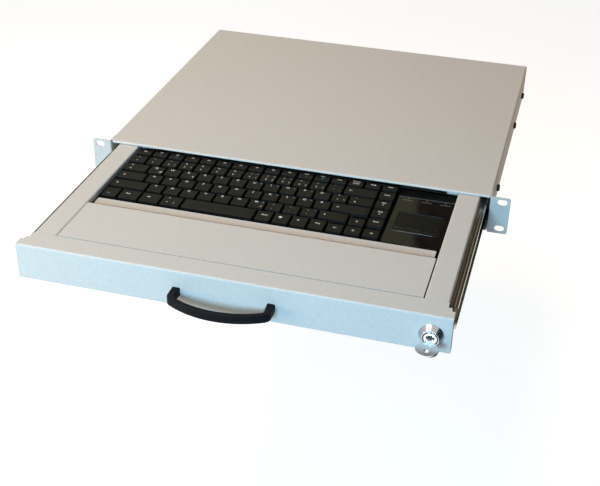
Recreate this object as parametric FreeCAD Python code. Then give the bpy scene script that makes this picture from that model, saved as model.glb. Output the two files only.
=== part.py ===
import FreeCAD, Part
import math
import os
from collections import namedtuple

# Rack keyboard drawer, one rack unit high, for a 19-inch rack.
# Millimetres. X runs to the right, Y into the rack, Z up.
# The origin is the centre of the four rack slots, on the rear face of the ears.
# Everything is drawn with the drawer shut; the drawer's own pieces are then moved out by DRAWER_OPEN.

V = FreeCAD.Vector

# Driving dimensions: rack interface
EAR_SPAN = 482.6
EAR_HEIGHT = 43.6
SLOT_SPAN_X = 465.1
SLOT_SPAN_Z = 31.75
SLOT_LENGTH = 10.5
SLOT_WIDTH = 6.8
EAR_CORNER = 3.0

# Driving dimensions: housing
SHEET = 1.2
BEND = 0.8
BODY_WIDTH = 441.0
BODY_BACK = 380.5
BODY_TOP = 22.2
BODY_BOTTOM = -21.8

# Driving dimensions: screws, as radii and depths
M4 = 2.0
M4_CLEAR = 2.1
M4_HEAD = 3.8
M4_HEAD_DEPTH = 2.4
M3 = 1.5
M3_CLEAR = 1.6
M3_HEAD = 3.0
M3_HEAD_DEPTH = 1.8
COUNTERSUNK_HEAD = 3.1
COUNTERSUNK_LENGTH = 3.4
COUNTERSUNK_PLAY = 0.1
BUTTON_HEAD = 4.0
BUTTON_HEAD_DEPTH = 3.2
BUTTON_BEVEL = 0.9

# Driving dimensions: drawer
DRAWER_OPEN = 234.8
PANEL_WIDTH = 432.6
PANEL_TOP = 19.3
PANEL_BOTTOM = -19.9
TRAY_WIDTH = 417.4
TRAY_BACK = 370.0
WELL_WIDTH = 370.0
LIP_BOTTOM = 13.0

# Driving dimensions: slides
RAIL_LENGTH = 340.0
OUTER_RAIL_HEIGHT = 35.4
INNER_RAIL_HEIGHT = 25.2
BALL_RADIUS = 2.4
BALL_PLAY = 0.15
BALLS_IN_ROW = 4
CAGE_LENGTH = 80.0

# Driving dimensions: keyboard
KEY_PITCH = 19.05
KEY_TOP = 15.0
KEY_TRAVEL = 2.5
KEYS_LEFT = -183.5
KEYS_FRONT = 121.9
BOTTOM_ROW_DEPTH = 21.6
FUNCTION_ROW_DEPTH = 17.1
ROW_STEP = 0.4

# Worked out: housing
FRONT_FACE = -SHEET
WALL_OUT = BODY_WIDTH / 2
WALL_IN = WALL_OUT - SHEET
COVER_UNDER = BODY_TOP - SHEET
FLOOR_TOP = BODY_BOTTOM + SHEET
SILL_BOTTOM = FLOOR_TOP
SILL_WIDTH = 10.2
SILL_FRONT = 20.0
SHELL_FRONT = 2.0
EAR_RETURN = 14.0
REAR_WALL = 376.5
FLOOR_WIDTH = 436.4
FLOOR_FRONT = 1.0
COVER_LIP_BOTTOM = 20.0
COVER_LIP_LEFT = -217.0
COVER_LIP_RIGHT = 219.0
SILL_SCREW_Y = (45.0, 190.0, 345.0)
CABLE_X = (120.0, 176.0)
CABLE_Z = (-9.0, 7.0)
CABLE_CORNER = 4.0
GROMMET_LIP = 1.4
GROMMET_RIM = 2.0
GROMMET_WALL = 1.2
PAST = 5.0

# Worked out: drawer
PANEL_HALF = PANEL_WIDTH / 2
TRAY_HALF = TRAY_WIDTH / 2
WELL_HALF = WELL_WIDTH / 2
TRAY_FLOOR = PANEL_BOTTOM + SHEET
TRAY_FLOOR_TOP = TRAY_FLOOR + SHEET
TRAY_FRONT = 24.7
PANEL_FLANGE = 24.6
PANEL_FOOT = 40.0
PALM_FRONT = 25.6
PALM_BACK = 96.1
PALM_HALF = WELL_HALF - 1.0
LEDGE_FRONT = 107.8
LEDGE_BACK = 119.6
LEDGE_X = (-183.0, 181.0)
LEDGE_TOP = LIP_BOTTOM
LEDGE_FOOT = 10.4
PALM_FOOT = 10.4
TONGUE_FRONT = 1.0
REAR_FLANGE_TOP = 6.0
NOTCH_BOTTOM = -12.0
PANEL_RETURN = 9.0
RELIEF_STEPS = (208.6, 212.9)
RELIEF_DEPTHS = (15.9, 10.4)
RELIEF_CORNER = 1.2
RELIEF_DRAFT = 0.3

# Worked out: slides
OUTER_RAIL_FRONT = 31.0
INNER_RAIL_FRONT = 28.8
OUTER_RAIL_HALF = OUTER_RAIL_HEIGHT / 2
INNER_RAIL_HALF = INNER_RAIL_HEIGHT / 2
OUTER_RAIL_EDGE = TRAY_HALF + 1.2
INNER_RAIL_EDGE = TRAY_HALF + 7.9
INNER_RAIL_LIP = 2.0
BALL_X = TRAY_HALF + 4.2
BALL_Z = (OUTER_RAIL_HALF - SHEET + INNER_RAIL_HALF) / 2
RACEWAY = BALL_RADIUS + BALL_PLAY
CAGE_SHEET = 0.8
CAGE_FRONT = 161.0
CAGE_EDGE = TRAY_HALF + 0.4
CAGE_WEB = TRAY_HALF + 9.0
STOP_TAB_REACH = 216.8
STOP_TAB_LOW = -11.4
STOP_TAB_HIGH = -4.0
STOP_TAB_ROOT = 8.0
RAIL_SCREW_Y = (69.0, 242.0, 339.0)
RAIL_SCREW_Z = -3.5
INNER_SCREW_Y = (60.0, 200.0, 340.0)

# Worked out: handle
HANDLE_X = -1.5
HANDLE_HALF = 51.4
HANDLE_REACH = 32.0
HANDLE_GRIP = 26.2
HANDLE_BOW = 95.0
HANDLE_FOOT_IN = 43.4
HANDLE_LEG_IN = 44.6
HANDLE_HEIGHT = 9.2
HANDLE_Z = -3.3
HANDLE_SCREW_X = 47.4
HANDLE_SCREW_DEPTH = 9.0
HANDLE_CORNER = 8.0
HANDLE_THROAT = 4.0
HANDLE_EDGE = 1.3

# Worked out: lock
LOCK_X = 197.7
LOCK_Z = -2.2
LOCK_FACE = -7.2
COLLAR_BASE = 12.0
COLLAR_FACE = 8.6
BARREL = 8.0
BARREL_BACK = 16.0
PLUG = 6.5
PLUG_PLAY = 0.05
PLUG_BACK = 16.3
SHANK = 7.0
CAM_FRONT = 16.6
CAM_THICK = 2.0
CAM_LENGTH = 19.2
CAM_HALF = 5.0
KEY_THICK = 2.2
KEY_BLADE = 7.0
KEY_BOW = 10.8
KEY_BOW_Y = -24.4
KEY_HOLE = 2.4
KEY_HOLE_Y = -27.4
KEYWAY_BACK = 12.0
KEY_PLAY = 0.15
KEY_TIP = 0.5
KEY_BITTING = ((7.0, 1.2), (2.5, 2.0), (-2.2, 0.9))
NUT_FLATS = 22.0
NUT_THICK = 3.5
NUT_PLAY = 0.05
CAM_HUB = 7.0
CAM_CORNER = 4.0
CAM_NOSE = 4.9
CAM_SCREW_HEAD = 4.6
CAM_SCREW_DEPTH = 5.0
CATCH_FRONT = 14.8
CATCH_BACK = 29.0
CATCH_EDGE = 213.8
CATCH_LOW = -3.0
CATCH_HIGH = 10.0

# Worked out: keyboard
CASE_HALF = 185.4
CASE_FRONT = 110.4
CASE_BACK = 245.0
CASE_BOTTOM = -6.0
CASE_SPLIT = 2.0
CASE_TOP = 10.5
CASE_WALL = 1.5
DECK_TOP = 7.6
KEY_SKIRT = DECK_TOP + KEY_TRAVEL + 0.5
KEY_GAP = 0.9
KEY_DRAFT_SIDE = 1.0
KEY_DRAFT_FRONT = 2.0
BOTTOM_ROW_DRAFT = 0.85
KEY_DRAFT_BACK = 1.2
KEY_CORNER = 1.3
KEY_ROOF = 1.4
KEY_DISH = 34.0
KEY_DISH_DEPTH = 0.35
WIDEST_DISHED = 1.6
KEY_WALL = 1.1
STEM = 5.4
STEM_PLAY = 0.2
STEM_BOTTOM = 4.6
FIELD_RIGHT = KEYS_LEFT + 16 * KEY_PITCH
FIELD_BACK = KEYS_FRONT + BOTTOM_ROW_DEPTH + 4 * KEY_PITCH + FUNCTION_ROW_DEPTH
ARROW_LINE = 140.0
UP_ARROW_BACK = 157.4
FIELD_MARGIN = 0.7
PAD_LEFT = 123.6
PAD_RIGHT = 184.0
PAD_TOP = 13.4
TOUCH_X = (130.1, 176.5)
TOUCH_Y = (154.4, 185.6)
TOUCH_RIM = 1.2
TOUCH_PLAY = 0.3
PAD_BUTTON_Y = (147.8, 152.4)
PAD_BUTTON_TRAVEL = 0.5
LIGHT_X = (134.2, 154.4, 174.6)
LIGHT_Y = 217.6
LIGHT_RADIUS = 1.1
CLIP_X = (171.5, 184.4)
CLIP_FACE = 245.3
CLIP_TOP = 17.5
CLIP_BACK = 260.0
SUPPORT_TOP = 9.8
FRONT_SUPPORT_Y = (114.0, 132.0)
FRONT_SUPPORT_HALF = 175.0
REAR_SUPPORT_Y = (228.0, 246.9, 262.0)
REAR_SUPPORT_FOOT = 14.0
REAR_SUPPORT_HALF = 184.0
LEAD_SLOT_HALF = 30.0
LEAD_SLOT_Z = (-3.0, 8.0)
CASE_CORNER = 2.5
RIB_Y = (128.0, 178.0, 228.0)
RIB_TOP = 0.4
SHEET_X = (2.0 - CASE_HALF, 118.0)
SHEET_Y = (117.0, 234.0)
CONTACT_THICK = 0.4
DOME_THICK = 0.8
BOARD_X = (126.0, 180.0)
BOARD_Y = (130.0, 225.0)
BOARD_Z = (-2.0, -0.4)
BOARD_INSET = 4.0
POST = 1.8
CHIP = 14.0
CHIP_TOP = 1.4
CASE_ROOF_MARGIN = 10.0
PAD_CORNER = 1.0
PAD_SEAT_PLAY = 0.2
TOUCH_DEPTH = 1.6
TOUCH_SUNK = 0.2
TOUCH_GLUE_GAP = 0.1
RIM_RISE = 0.6
BUTTON_POCKET = 3.0
BUTTON_RISE = 0.7
BUTTON_CORNER = 0.6
LIGHT_RISE = 0.15
LIGHT_PLAY = 0.05

# Keys from the left in units of the pitch: node, width of one key, how many
KEY_ROWS = (
    (("left_modifier_keys", 1.0, 1), ("left_modifier_keys", 1.25, 3), ("space_bar", 4.25, 1),
     ("right_modifier_keys", 1.0, 4), ("left_arrow_key", 1.0, 1), ("down_arrow_key", 1.0, 1),
     ("right_arrow_key", 1.0, 1)),
    (("left_shift_key", 2.25, 1), ("lower_keys", 1.0, 10), ("right_shift_key", 1.75, 1),
     ("up_arrow_key", 1.0, 1), ("navigation_keys", 1.0, 1)),
    (("caps_lock_key", 1.75, 1), ("home_keys", 1.0, 11), ("enter_key", 2.25, 1),
     ("navigation_keys", 1.0, 1)),
    (("tab_key", 1.5, 1), ("upper_keys", 1.0, 12), ("upper_keys", 1.5, 1), ("navigation_keys", 1.0, 1)),
    (("number_keys", 1.0, 13), ("backspace_key", 2.0, 1), ("navigation_keys", 1.0, 1)),
    (("function_keys", 1.0, 16),),
)
ROW_DEPTHS = (BOTTOM_ROW_DEPTH, KEY_PITCH, KEY_PITCH, KEY_PITCH, KEY_PITCH, FUNCTION_ROW_DEPTH)

# The arrow keys stand a little in front of their rows: front and back line
ARROW_KEYS = {
    "left_arrow_key": (KEYS_FRONT, ARROW_LINE),
    "down_arrow_key": (KEYS_FRONT, ARROW_LINE),
    "right_arrow_key": (KEYS_FRONT, ARROW_LINE),
    "up_arrow_key": (ARROW_LINE, UP_ARROW_BACK),
}

Key = namedtuple("Key", "node left right front back top draft")


# Drawing helpers

def front_view(u, v):
    """Point (x, z) of a section that runs along Y."""
    return V(u, 0, v)


def side_view(u, v):
    """Point (y, z) of a section that runs along X."""
    return V(0, u, v)


def top_view(u, v):
    """Point (x, y) of a section that runs along Z."""
    return V(u, v, 0)


def box(x0, x1, y0, y1, z0, z1):
    """Block between two corners."""
    return Part.makeBox(x1 - x0, y1 - y0, z1 - z0, V(x0, y0, z0))


def rod(radius, start, end):
    """Cylinder from one point to another."""
    return Part.makeCylinder(radius, (end - start).Length, start, end - start)


def mirrored(shape):
    """The same piece on the other side of the middle plane."""
    return shape.mirror(V(0, 0, 0), V(1, 0, 0))


def joined(shapes):
    """One solid from pieces that touch or overlap, without the seams between them."""
    return shapes[0].fuse(shapes[1:]).removeSplitter()


def outline(points, radii, view):
    """Closed wire through the points, each corner rounded by its radius."""
    starts, middles, ends = [], [], []
    for i, (point, radius) in enumerate(zip(points, radii)):
        corner = V(point[0], point[1], 0)
        before = V(*points[i - 1], 0) - corner
        after = V(*points[(i + 1) % len(points)], 0) - corner
        before.normalize()
        after.normalize()
        half = before.getAngle(after) / 2
        reach = radius / math.tan(half)
        inward = before + after
        starts.append(corner + before * reach)
        ends.append(corner + after * reach)
        if radius:
            inward.normalize()
            middles.append(corner + inward * (radius / math.sin(half) - radius))
        else:
            middles.append(corner)
    edges = []
    for i, radius in enumerate(radii):
        following = starts[(i + 1) % len(points)]
        if radius:
            arc_points = [view(p.x, p.y) for p in (starts[i], middles[i], ends[i])]
            edges.append(Part.Arc(*arc_points).toShape())
        if (following - ends[i]).Length > 1e-6:
            edges.append(Part.makeLine(view(ends[i].x, ends[i].y), view(following.x, following.y)))
    return Part.Wire(edges)


def prism(points, radii, view, start, run):
    """Solid of an outline, moved to start and carried along run."""
    solid = Part.Face(outline(points, radii, view)).extrude(run)
    solid.translate(start)
    return solid


def left_of(direction):
    """Unit vector to the left of a flat direction."""
    return V(-direction.y, direction.x, 0)


def folded(path, view, start, run, sheet=SHEET, bend=BEND):
    """Folded sheet: the path is one skin of its section, and the sheet lies to the path's left."""
    points = [V(u, v, 0) for u, v in path]
    runs = [(b - a).normalize() for a, b in zip(points, points[1:])]
    other = [points[0] + left_of(runs[0]) * sheet]
    near, far = [0], [0]
    for point, before, after in zip(points[1:], runs, runs[1:]):
        mitre = left_of(before) + left_of(after)
        other.append(point + mitre * (sheet / (1 + left_of(before).dot(left_of(after)))))
        turns_left = before.cross(after).z > 0
        near.append(bend + sheet if turns_left else bend)
        far.append(bend if turns_left else bend + sheet)
    other.append(points[-1] + left_of(runs[-1]) * sheet)
    corners = [(p.x, p.y) for p in points + other[::-1]]
    return prism(corners, near + [0, 0] + far[::-1], view, start, run)


def block(x_range, y_range, z_range, radius):
    """Block with its four upright edges rounded."""
    (x0, x1), (y0, y1), (z0, z1) = x_range, y_range, z_range
    corners = [(x0, y0), (x1, y0), (x1, y1), (x0, y1)]
    return prism(corners, [radius] * 4, top_view, V(0, 0, z0), V(0, 0, z1 - z0))


# Housing

def rack_slot(x, z):
    """Cutter for one rack slot through an ear."""
    half = (SLOT_LENGTH - SLOT_WIDTH) / 2
    radius = SLOT_WIDTH / 2
    corners = [(x - half - radius, z - radius), (x + half + radius, z - radius),
               (x + half + radius, z + radius), (x - half - radius, z + radius)]
    return prism(corners, [radius * 0.999] * 4, front_view, V(0, -PAST, 0), V(0, 2 * PAST, 0))


def ear():
    """Right ear: the front edge of the side wall bent outward, with its rack slots."""
    bracket = folded([(EAR_SPAN / 2, 0), (WALL_OUT, 0), (WALL_OUT, EAR_RETURN)], top_view,
                     V(0, 0, -EAR_HEIGHT / 2), V(0, 0, EAR_HEIGHT))
    edge = EAR_SPAN / 2
    high = EAR_HEIGHT / 2
    blank = prism([(0, -high), (edge, -high), (edge, high), (0, high)], [0, EAR_CORNER, EAR_CORNER, 0],
                  front_view, V(0, -PAST, 0), V(0, EAR_RETURN + 2 * PAST, 0))
    return bracket.common(blank)


def rail_screw_axis(y):
    """Start and end of the line of a rail screw through the right wall."""
    return V(WALL_OUT - 3 * SHEET, y, RAIL_SCREW_Z), V(WALL_OUT + SHEET, y, RAIL_SCREW_Z)


def sill_screw_places():
    """Where the floor is screwed to the sills."""
    x = WALL_OUT - SILL_WIDTH / 2 - SHEET
    return [(side * x, y) for side in (-1, 1) for y in SILL_SCREW_Y]


def housing_shell():
    """Cover, both side walls and sills folded from one sheet, with the ears at the front."""
    sill = WALL_OUT - SILL_WIDTH
    path = [(sill, SILL_BOTTOM), (WALL_OUT, SILL_BOTTOM), (WALL_OUT, BODY_TOP),
            (-WALL_OUT, BODY_TOP), (-WALL_OUT, SILL_BOTTOM), (-sill, SILL_BOTTOM)]
    sleeve = folded(path, front_view, V(0, SHELL_FRONT, 0), V(0, BODY_BACK - SHELL_FRONT, 0))
    inner = WALL_IN - BEND
    for side in (-1, 1):
        x0, x1 = sorted((side * (sill - 1), side * inner))
        sleeve = sleeve.cut(box(x0, x1, 0, SILL_FRONT, SILL_BOTTOM - 1, SILL_BOTTOM + 2))
        sleeve = sleeve.cut(box(x0, x1, REAR_WALL - 3, BODY_BACK + 1, SILL_BOTTOM - 1, SILL_BOTTOM + 2))
    lip = folded([(SHELL_FRONT, BODY_TOP), (FRONT_FACE, BODY_TOP), (FRONT_FACE, COVER_LIP_BOTTOM)],
                 side_view, V(COVER_LIP_LEFT, 0, 0), V(COVER_LIP_RIGHT - COVER_LIP_LEFT, 0, 0))
    shell = joined([sleeve, lip, ear(), mirrored(ear())])
    for x in (-SLOT_SPAN_X / 2, SLOT_SPAN_X / 2):
        for z in (-SLOT_SPAN_Z / 2, SLOT_SPAN_Z / 2):
            shell = shell.cut(rack_slot(x, z))
    for y in RAIL_SCREW_Y:
        hole = rod(M4_CLEAR, *rail_screw_axis(y))
        shell = shell.cut([hole, mirrored(hole)])
    holes = [rod(M4_CLEAR, V(x, y, SILL_BOTTOM - 1), V(x, y, SILL_BOTTOM + 2))
             for x, y in sill_screw_places()]
    return shell.cut(holes)


def countersunk(x, y, play):
    """Countersunk screw pointing up from the floor's underside, grown by the play."""
    depth = COUNTERSUNK_HEAD - M4
    cone = Part.makeCone(COUNTERSUNK_HEAD + play, M4 + play, depth, V(x, y, BODY_BOTTOM))
    shank = rod(M4 + play, V(x, y, BODY_BOTTOM + depth), V(x, y, BODY_BOTTOM + COUNTERSUNK_LENGTH))
    return joined([cone, shank])


def bottom_screws():
    """Countersunk screws that hold the floor to the sills."""
    return [countersunk(x, y, 0) for x, y in sill_screw_places()]


def bottom_plate():
    """Floor of the housing with its upturned rear wall and the cable opening."""
    path = [(FLOOR_FRONT, BODY_BOTTOM), (REAR_WALL, BODY_BOTTOM), (REAR_WALL, COVER_UNDER - 0.3)]
    plate = folded(path, side_view, V(-FLOOR_WIDTH / 2, 0, 0), V(FLOOR_WIDTH, 0, 0))
    plate = plate.cut([countersunk(x, y, COUNTERSUNK_PLAY) for x, y in sill_screw_places()])
    return plate.cut(cable_hole(0, REAR_WALL - PAST, REAR_WALL + PAST))


def cable_hole(grow, y0, y1):
    """Rounded rectangle through the rear wall, grown on every side."""
    x0, x1 = CABLE_X[0] - grow, CABLE_X[1] + grow
    z0, z1 = CABLE_Z[0] - grow, CABLE_Z[1] + grow
    corners = [(x0, z0), (x1, z0), (x1, z1), (x0, z1)]
    return prism(corners, [CABLE_CORNER + grow] * 4, front_view, V(0, y0, 0), V(0, y1 - y0, 0))


def cable_grommet():
    """Edge trim ring in the cable opening, with a lip on each side of the sheet."""
    inside = cable_hole(GROMMET_RIM, REAR_WALL - SHEET - GROMMET_LIP, REAR_WALL - SHEET)
    outside = cable_hole(GROMMET_RIM, REAR_WALL, REAR_WALL + GROMMET_LIP)
    neck = cable_hole(0, REAR_WALL - SHEET, REAR_WALL)
    hole = cable_hole(-GROMMET_WALL, REAR_WALL - PAST, REAR_WALL + PAST)
    return joined([inside, neck, outside]).cut(hole)


def lock_catch():
    """Angle on the right wall that the lock's cam turns behind."""
    return folded([(CATCH_EDGE, CATCH_FRONT), (WALL_IN, CATCH_FRONT), (WALL_IN, CATCH_BACK)], top_view,
                  V(0, 0, CATCH_LOW), V(0, 0, CATCH_HIGH - CATCH_LOW))


def rail_screw(y):
    """Button-head screw through the right wall into the outer rail."""
    start = V(WALL_OUT - 2 * SHEET, y, RAIL_SCREW_Z)
    seat = V(WALL_OUT, y, RAIL_SCREW_Z)
    head = rod(BUTTON_HEAD, seat, seat + V(BUTTON_HEAD_DEPTH, 0, 0))
    rim = [edge for edge in head.Edges if edge.BoundBox.XMin > WALL_OUT + BUTTON_HEAD_DEPTH / 2]
    head = head.makeChamfer(BUTTON_BEVEL, rim)
    return joined([rod(M4, start, seat), head])


# Slides, right side

def raceway(z):
    """Cutter for the ball groove along a rail."""
    return rod(RACEWAY, V(BALL_X, 0, z), V(BALL_X, TRAY_BACK + PAST, z))


def outer_rail():
    """Outer member, screwed to the side wall, open towards the drawer."""
    path = [(OUTER_RAIL_EDGE, -OUTER_RAIL_HALF), (WALL_IN, -OUTER_RAIL_HALF),
            (WALL_IN, OUTER_RAIL_HALF), (OUTER_RAIL_EDGE, OUTER_RAIL_HALF)]
    rail = folded(path, front_view, V(0, OUTER_RAIL_FRONT, 0), V(0, RAIL_LENGTH, 0))
    rail = rail.cut([raceway(BALL_Z), raceway(-BALL_Z)])
    return rail.cut([rod(M4_CLEAR, *rail_screw_axis(y)) for y in RAIL_SCREW_Y])


def inner_rail():
    """Inner member, screwed to the drawer's side, with turned-in lips and a bent stop tab at its front."""
    lip = INNER_RAIL_HALF - INNER_RAIL_LIP
    path = [(INNER_RAIL_EDGE, lip), (INNER_RAIL_EDGE, INNER_RAIL_HALF), (TRAY_HALF, INNER_RAIL_HALF),
            (TRAY_HALF, -INNER_RAIL_HALF), (INNER_RAIL_EDGE, -INNER_RAIL_HALF), (INNER_RAIL_EDGE, -lip)]
    rail = folded(path, front_view, V(0, INNER_RAIL_FRONT, 0), V(0, RAIL_LENGTH, 0))
    rail = rail.cut([raceway(BALL_Z), raceway(-BALL_Z)])
    tab = folded([(STOP_TAB_REACH, INNER_RAIL_FRONT), (TRAY_HALF, INNER_RAIL_FRONT),
                  (TRAY_HALF, INNER_RAIL_FRONT + STOP_TAB_ROOT)][::-1], top_view,
                 V(0, 0, STOP_TAB_LOW), V(0, 0, STOP_TAB_HIGH - STOP_TAB_LOW))
    rail = joined([rail, tab])
    return rail.cut([inner_screw_hole(y) for y in INNER_SCREW_Y])


def inner_screw_hole(y):
    """Cutter for a screw through the inner rail and the tray's side."""
    return rod(M3_CLEAR, V(TRAY_HALF - 2 * SHEET, y, 0), V(TRAY_HALF + 2 * SHEET, y, 0))


def inner_rail_screw(y):
    """Pan-head screw inside the inner rail."""
    seat = V(TRAY_HALF + SHEET, y, 0)
    head = rod(M3_HEAD, seat, seat + V(M3_HEAD_DEPTH, 0, 0))
    return joined([head, rod(M3, seat - V(2 * M3_HEAD_DEPTH, 0, 0), seat)])


def ball_places():
    """Ball centres of one slide: an upper and a lower row."""
    step = CAGE_LENGTH / BALLS_IN_ROW
    rows = [CAGE_FRONT + step * (i + 0.5) for i in range(BALLS_IN_ROW)]
    return [V(BALL_X, y, z) for z in (-BALL_Z, BALL_Z) for y in rows]


def ball_cage():
    """Retainer strip that holds both ball rows at their spacing."""
    leg = BALL_Z + CAGE_SHEET / 2
    path = [(CAGE_EDGE, -leg), (CAGE_WEB, -leg), (CAGE_WEB, leg), (CAGE_EDGE, leg)]
    cage = folded(path, front_view, V(0, CAGE_FRONT, 0), V(0, CAGE_LENGTH, 0), CAGE_SHEET, CAGE_SHEET / 2)
    lift = V(0, 0, RACEWAY)
    return cage.cut([rod(RACEWAY, place - lift, place + lift) for place in ball_places()])


def balls():
    """Bearing balls of one slide."""
    return [Part.makeSphere(BALL_RADIUS, place) for place in ball_places()]


# Drawer

def drawer_tray():
    """Floor, sides, top strips and their turned-down lips, folded from one sheet."""
    path = [(-WELL_HALF, LIP_BOTTOM), (-WELL_HALF, PANEL_TOP), (-TRAY_HALF, PANEL_TOP),
            (-TRAY_HALF, TRAY_FLOOR), (TRAY_HALF, TRAY_FLOOR), (TRAY_HALF, PANEL_TOP),
            (WELL_HALF, PANEL_TOP), (WELL_HALF, LIP_BOTTOM)]
    trough = folded(path, front_view, V(0, TRAY_FRONT, 0), V(0, TRAY_BACK - TRAY_FRONT, 0))
    inside = TRAY_HALF - SHEET - BEND
    tongue = box(-inside, inside, TONGUE_FRONT, TRAY_FRONT + PAST, TRAY_FLOOR, TRAY_FLOOR_TOP)
    rear = folded([(TRAY_BACK - PAST, TRAY_FLOOR), (TRAY_BACK, TRAY_FLOOR), (TRAY_BACK, REAR_FLANGE_TOP)],
                  side_view, V(-inside, 0, 0), V(2 * inside, 0, 0))
    notch = box(*CABLE_X, TRAY_BACK - PAST, TRAY_BACK + PAST, NOTCH_BOTTOM, REAR_FLANGE_TOP + PAST)
    corner = box(-inside, inside, TRAY_BACK - BEND - SHEET, TRAY_BACK + 1, TRAY_FLOOR - 1, TRAY_FLOOR_TOP)
    tray = joined([trough.cut(corner), tongue, rear.cut(notch)])
    holes = [inner_screw_hole(y) for y in INNER_SCREW_Y]
    return tray.cut(holes + mirrored_all(holes))


def flange_relief():
    """Cutter that steps the right end of the panel's flanges in past the slide."""
    (x0, x1), (y0, y1) = RELIEF_STEPS, RELIEF_DEPTHS
    draft = RELIEF_DRAFT
    corners = [(x0 - draft, PANEL_FOOT + PAST), (x0 + draft, y0 + draft), (x1 - draft, y0 - draft),
               (x1 + draft, y1 + draft), (WALL_OUT, y1 - draft), (WALL_OUT, PANEL_FOOT + PAST)]
    radii = [0, RELIEF_CORNER, RELIEF_CORNER, RELIEF_CORNER, 0, 0]
    return prism(corners, radii, top_view, V(0, 0, PANEL_BOTTOM - PAST), V(0, 0, EAR_HEIGHT + PAST))


def front_panel():
    """Front of the drawer: face, top flange, bottom flange and short side returns."""
    path = [(PANEL_FLANGE, PANEL_TOP), (FRONT_FACE, PANEL_TOP), (FRONT_FACE, PANEL_BOTTOM),
            (PANEL_FOOT, PANEL_BOTTOM)]
    panel = folded(path, side_view, V(-PANEL_HALF, 0, 0), V(PANEL_WIDTH, 0, 0))
    panel = panel.cut([flange_relief(), mirrored(flange_relief())])
    low, high = PANEL_BOTTOM + SHEET, PANEL_TOP - SHEET
    side = box(PANEL_HALF - SHEET, PANEL_HALF, FRONT_FACE + SHEET, PANEL_RETURN, low, high)
    panel = joined([panel, side, mirrored(side)])
    through = V(0, PAST, 0)
    holes = [rod(M4_CLEAR, foot - through, foot + through) for foot in handle_feet()]
    holes.append(rod(BARREL + NUT_PLAY, V(LOCK_X, -PAST, LOCK_Z), V(LOCK_X, PAST, LOCK_Z)))
    return panel.cut(holes)


def palm_rest():
    """Bridge in front of the keyboard: a square-edged plate on two legs that stand on the tray's floor."""
    foot = PALM_FOOT
    path = [(PALM_BACK - foot, TRAY_FLOOR_TOP), (PALM_BACK, TRAY_FLOOR_TOP), (PALM_BACK, PANEL_TOP),
            (PALM_FRONT, PANEL_TOP), (PALM_FRONT, TRAY_FLOOR_TOP), (PALM_FRONT + foot, TRAY_FLOOR_TOP)]
    legs = folded(path, side_view, V(-PALM_HALF, 0, 0), V(2 * PALM_HALF, 0, 0))
    plate = box(-PALM_HALF, PALM_HALF, PALM_FRONT, PALM_BACK, PANEL_TOP - SHEET, PANEL_TOP)
    return joined([legs, plate])


def keyboard_ledge():
    """Angle behind the palm rest whose top flange holds the keyboard's front edge down."""
    left, right = LEDGE_X
    foot_top = TRAY_FLOOR_TOP + SHEET
    path = [(LEDGE_BACK, LEDGE_TOP), (LEDGE_FRONT, LEDGE_TOP), (LEDGE_FRONT, foot_top),
            (LEDGE_FRONT - LEDGE_FOOT, foot_top)]
    return folded(path, side_view, V(left, 0, 0), V(right - left, 0, 0))


def front_support():
    """Channel under the front of the keyboard."""
    front, back = FRONT_SUPPORT_Y
    path = [(back, CASE_BOTTOM), (front, CASE_BOTTOM), (front, TRAY_FLOOR_TOP), (back, TRAY_FLOOR_TOP)]
    return folded(path, side_view, V(-FRONT_SUPPORT_HALF, 0, 0), V(2 * FRONT_SUPPORT_HALF, 0, 0))


def rear_support():
    """Stepped bracket under and behind the keyboard's rear edge."""
    front, step, back = REAR_SUPPORT_Y
    path = [(back, SUPPORT_TOP), (step, SUPPORT_TOP), (step, CASE_BOTTOM), (front, CASE_BOTTOM),
            (front, TRAY_FLOOR_TOP), (front + REAR_SUPPORT_FOOT, TRAY_FLOOR_TOP)]
    bracket = folded(path, side_view, V(-REAR_SUPPORT_HALF, 0, 0), V(2 * REAR_SUPPORT_HALF, 0, 0))
    lead_slot = box(-LEAD_SLOT_HALF, LEAD_SLOT_HALF, step - PAST, step + PAST, *LEAD_SLOT_Z)
    return bracket.cut(lead_slot)


def keyboard_clip():
    """Right corner stop behind the keyboard, spot-welded to the rear support."""
    path = [(CLIP_FACE, CLIP_TOP), (CLIP_FACE, SUPPORT_TOP), (CLIP_BACK, SUPPORT_TOP)]
    return folded(path, side_view, V(CLIP_X[0], 0, 0), V(CLIP_X[1] - CLIP_X[0], 0, 0))


def handle_feet():
    """Middle of each handle foot, on the panel's rear face."""
    return [V(HANDLE_X + x, 0, HANDLE_Z) for x in (-HANDLE_SCREW_X, HANDLE_SCREW_X)]


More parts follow.
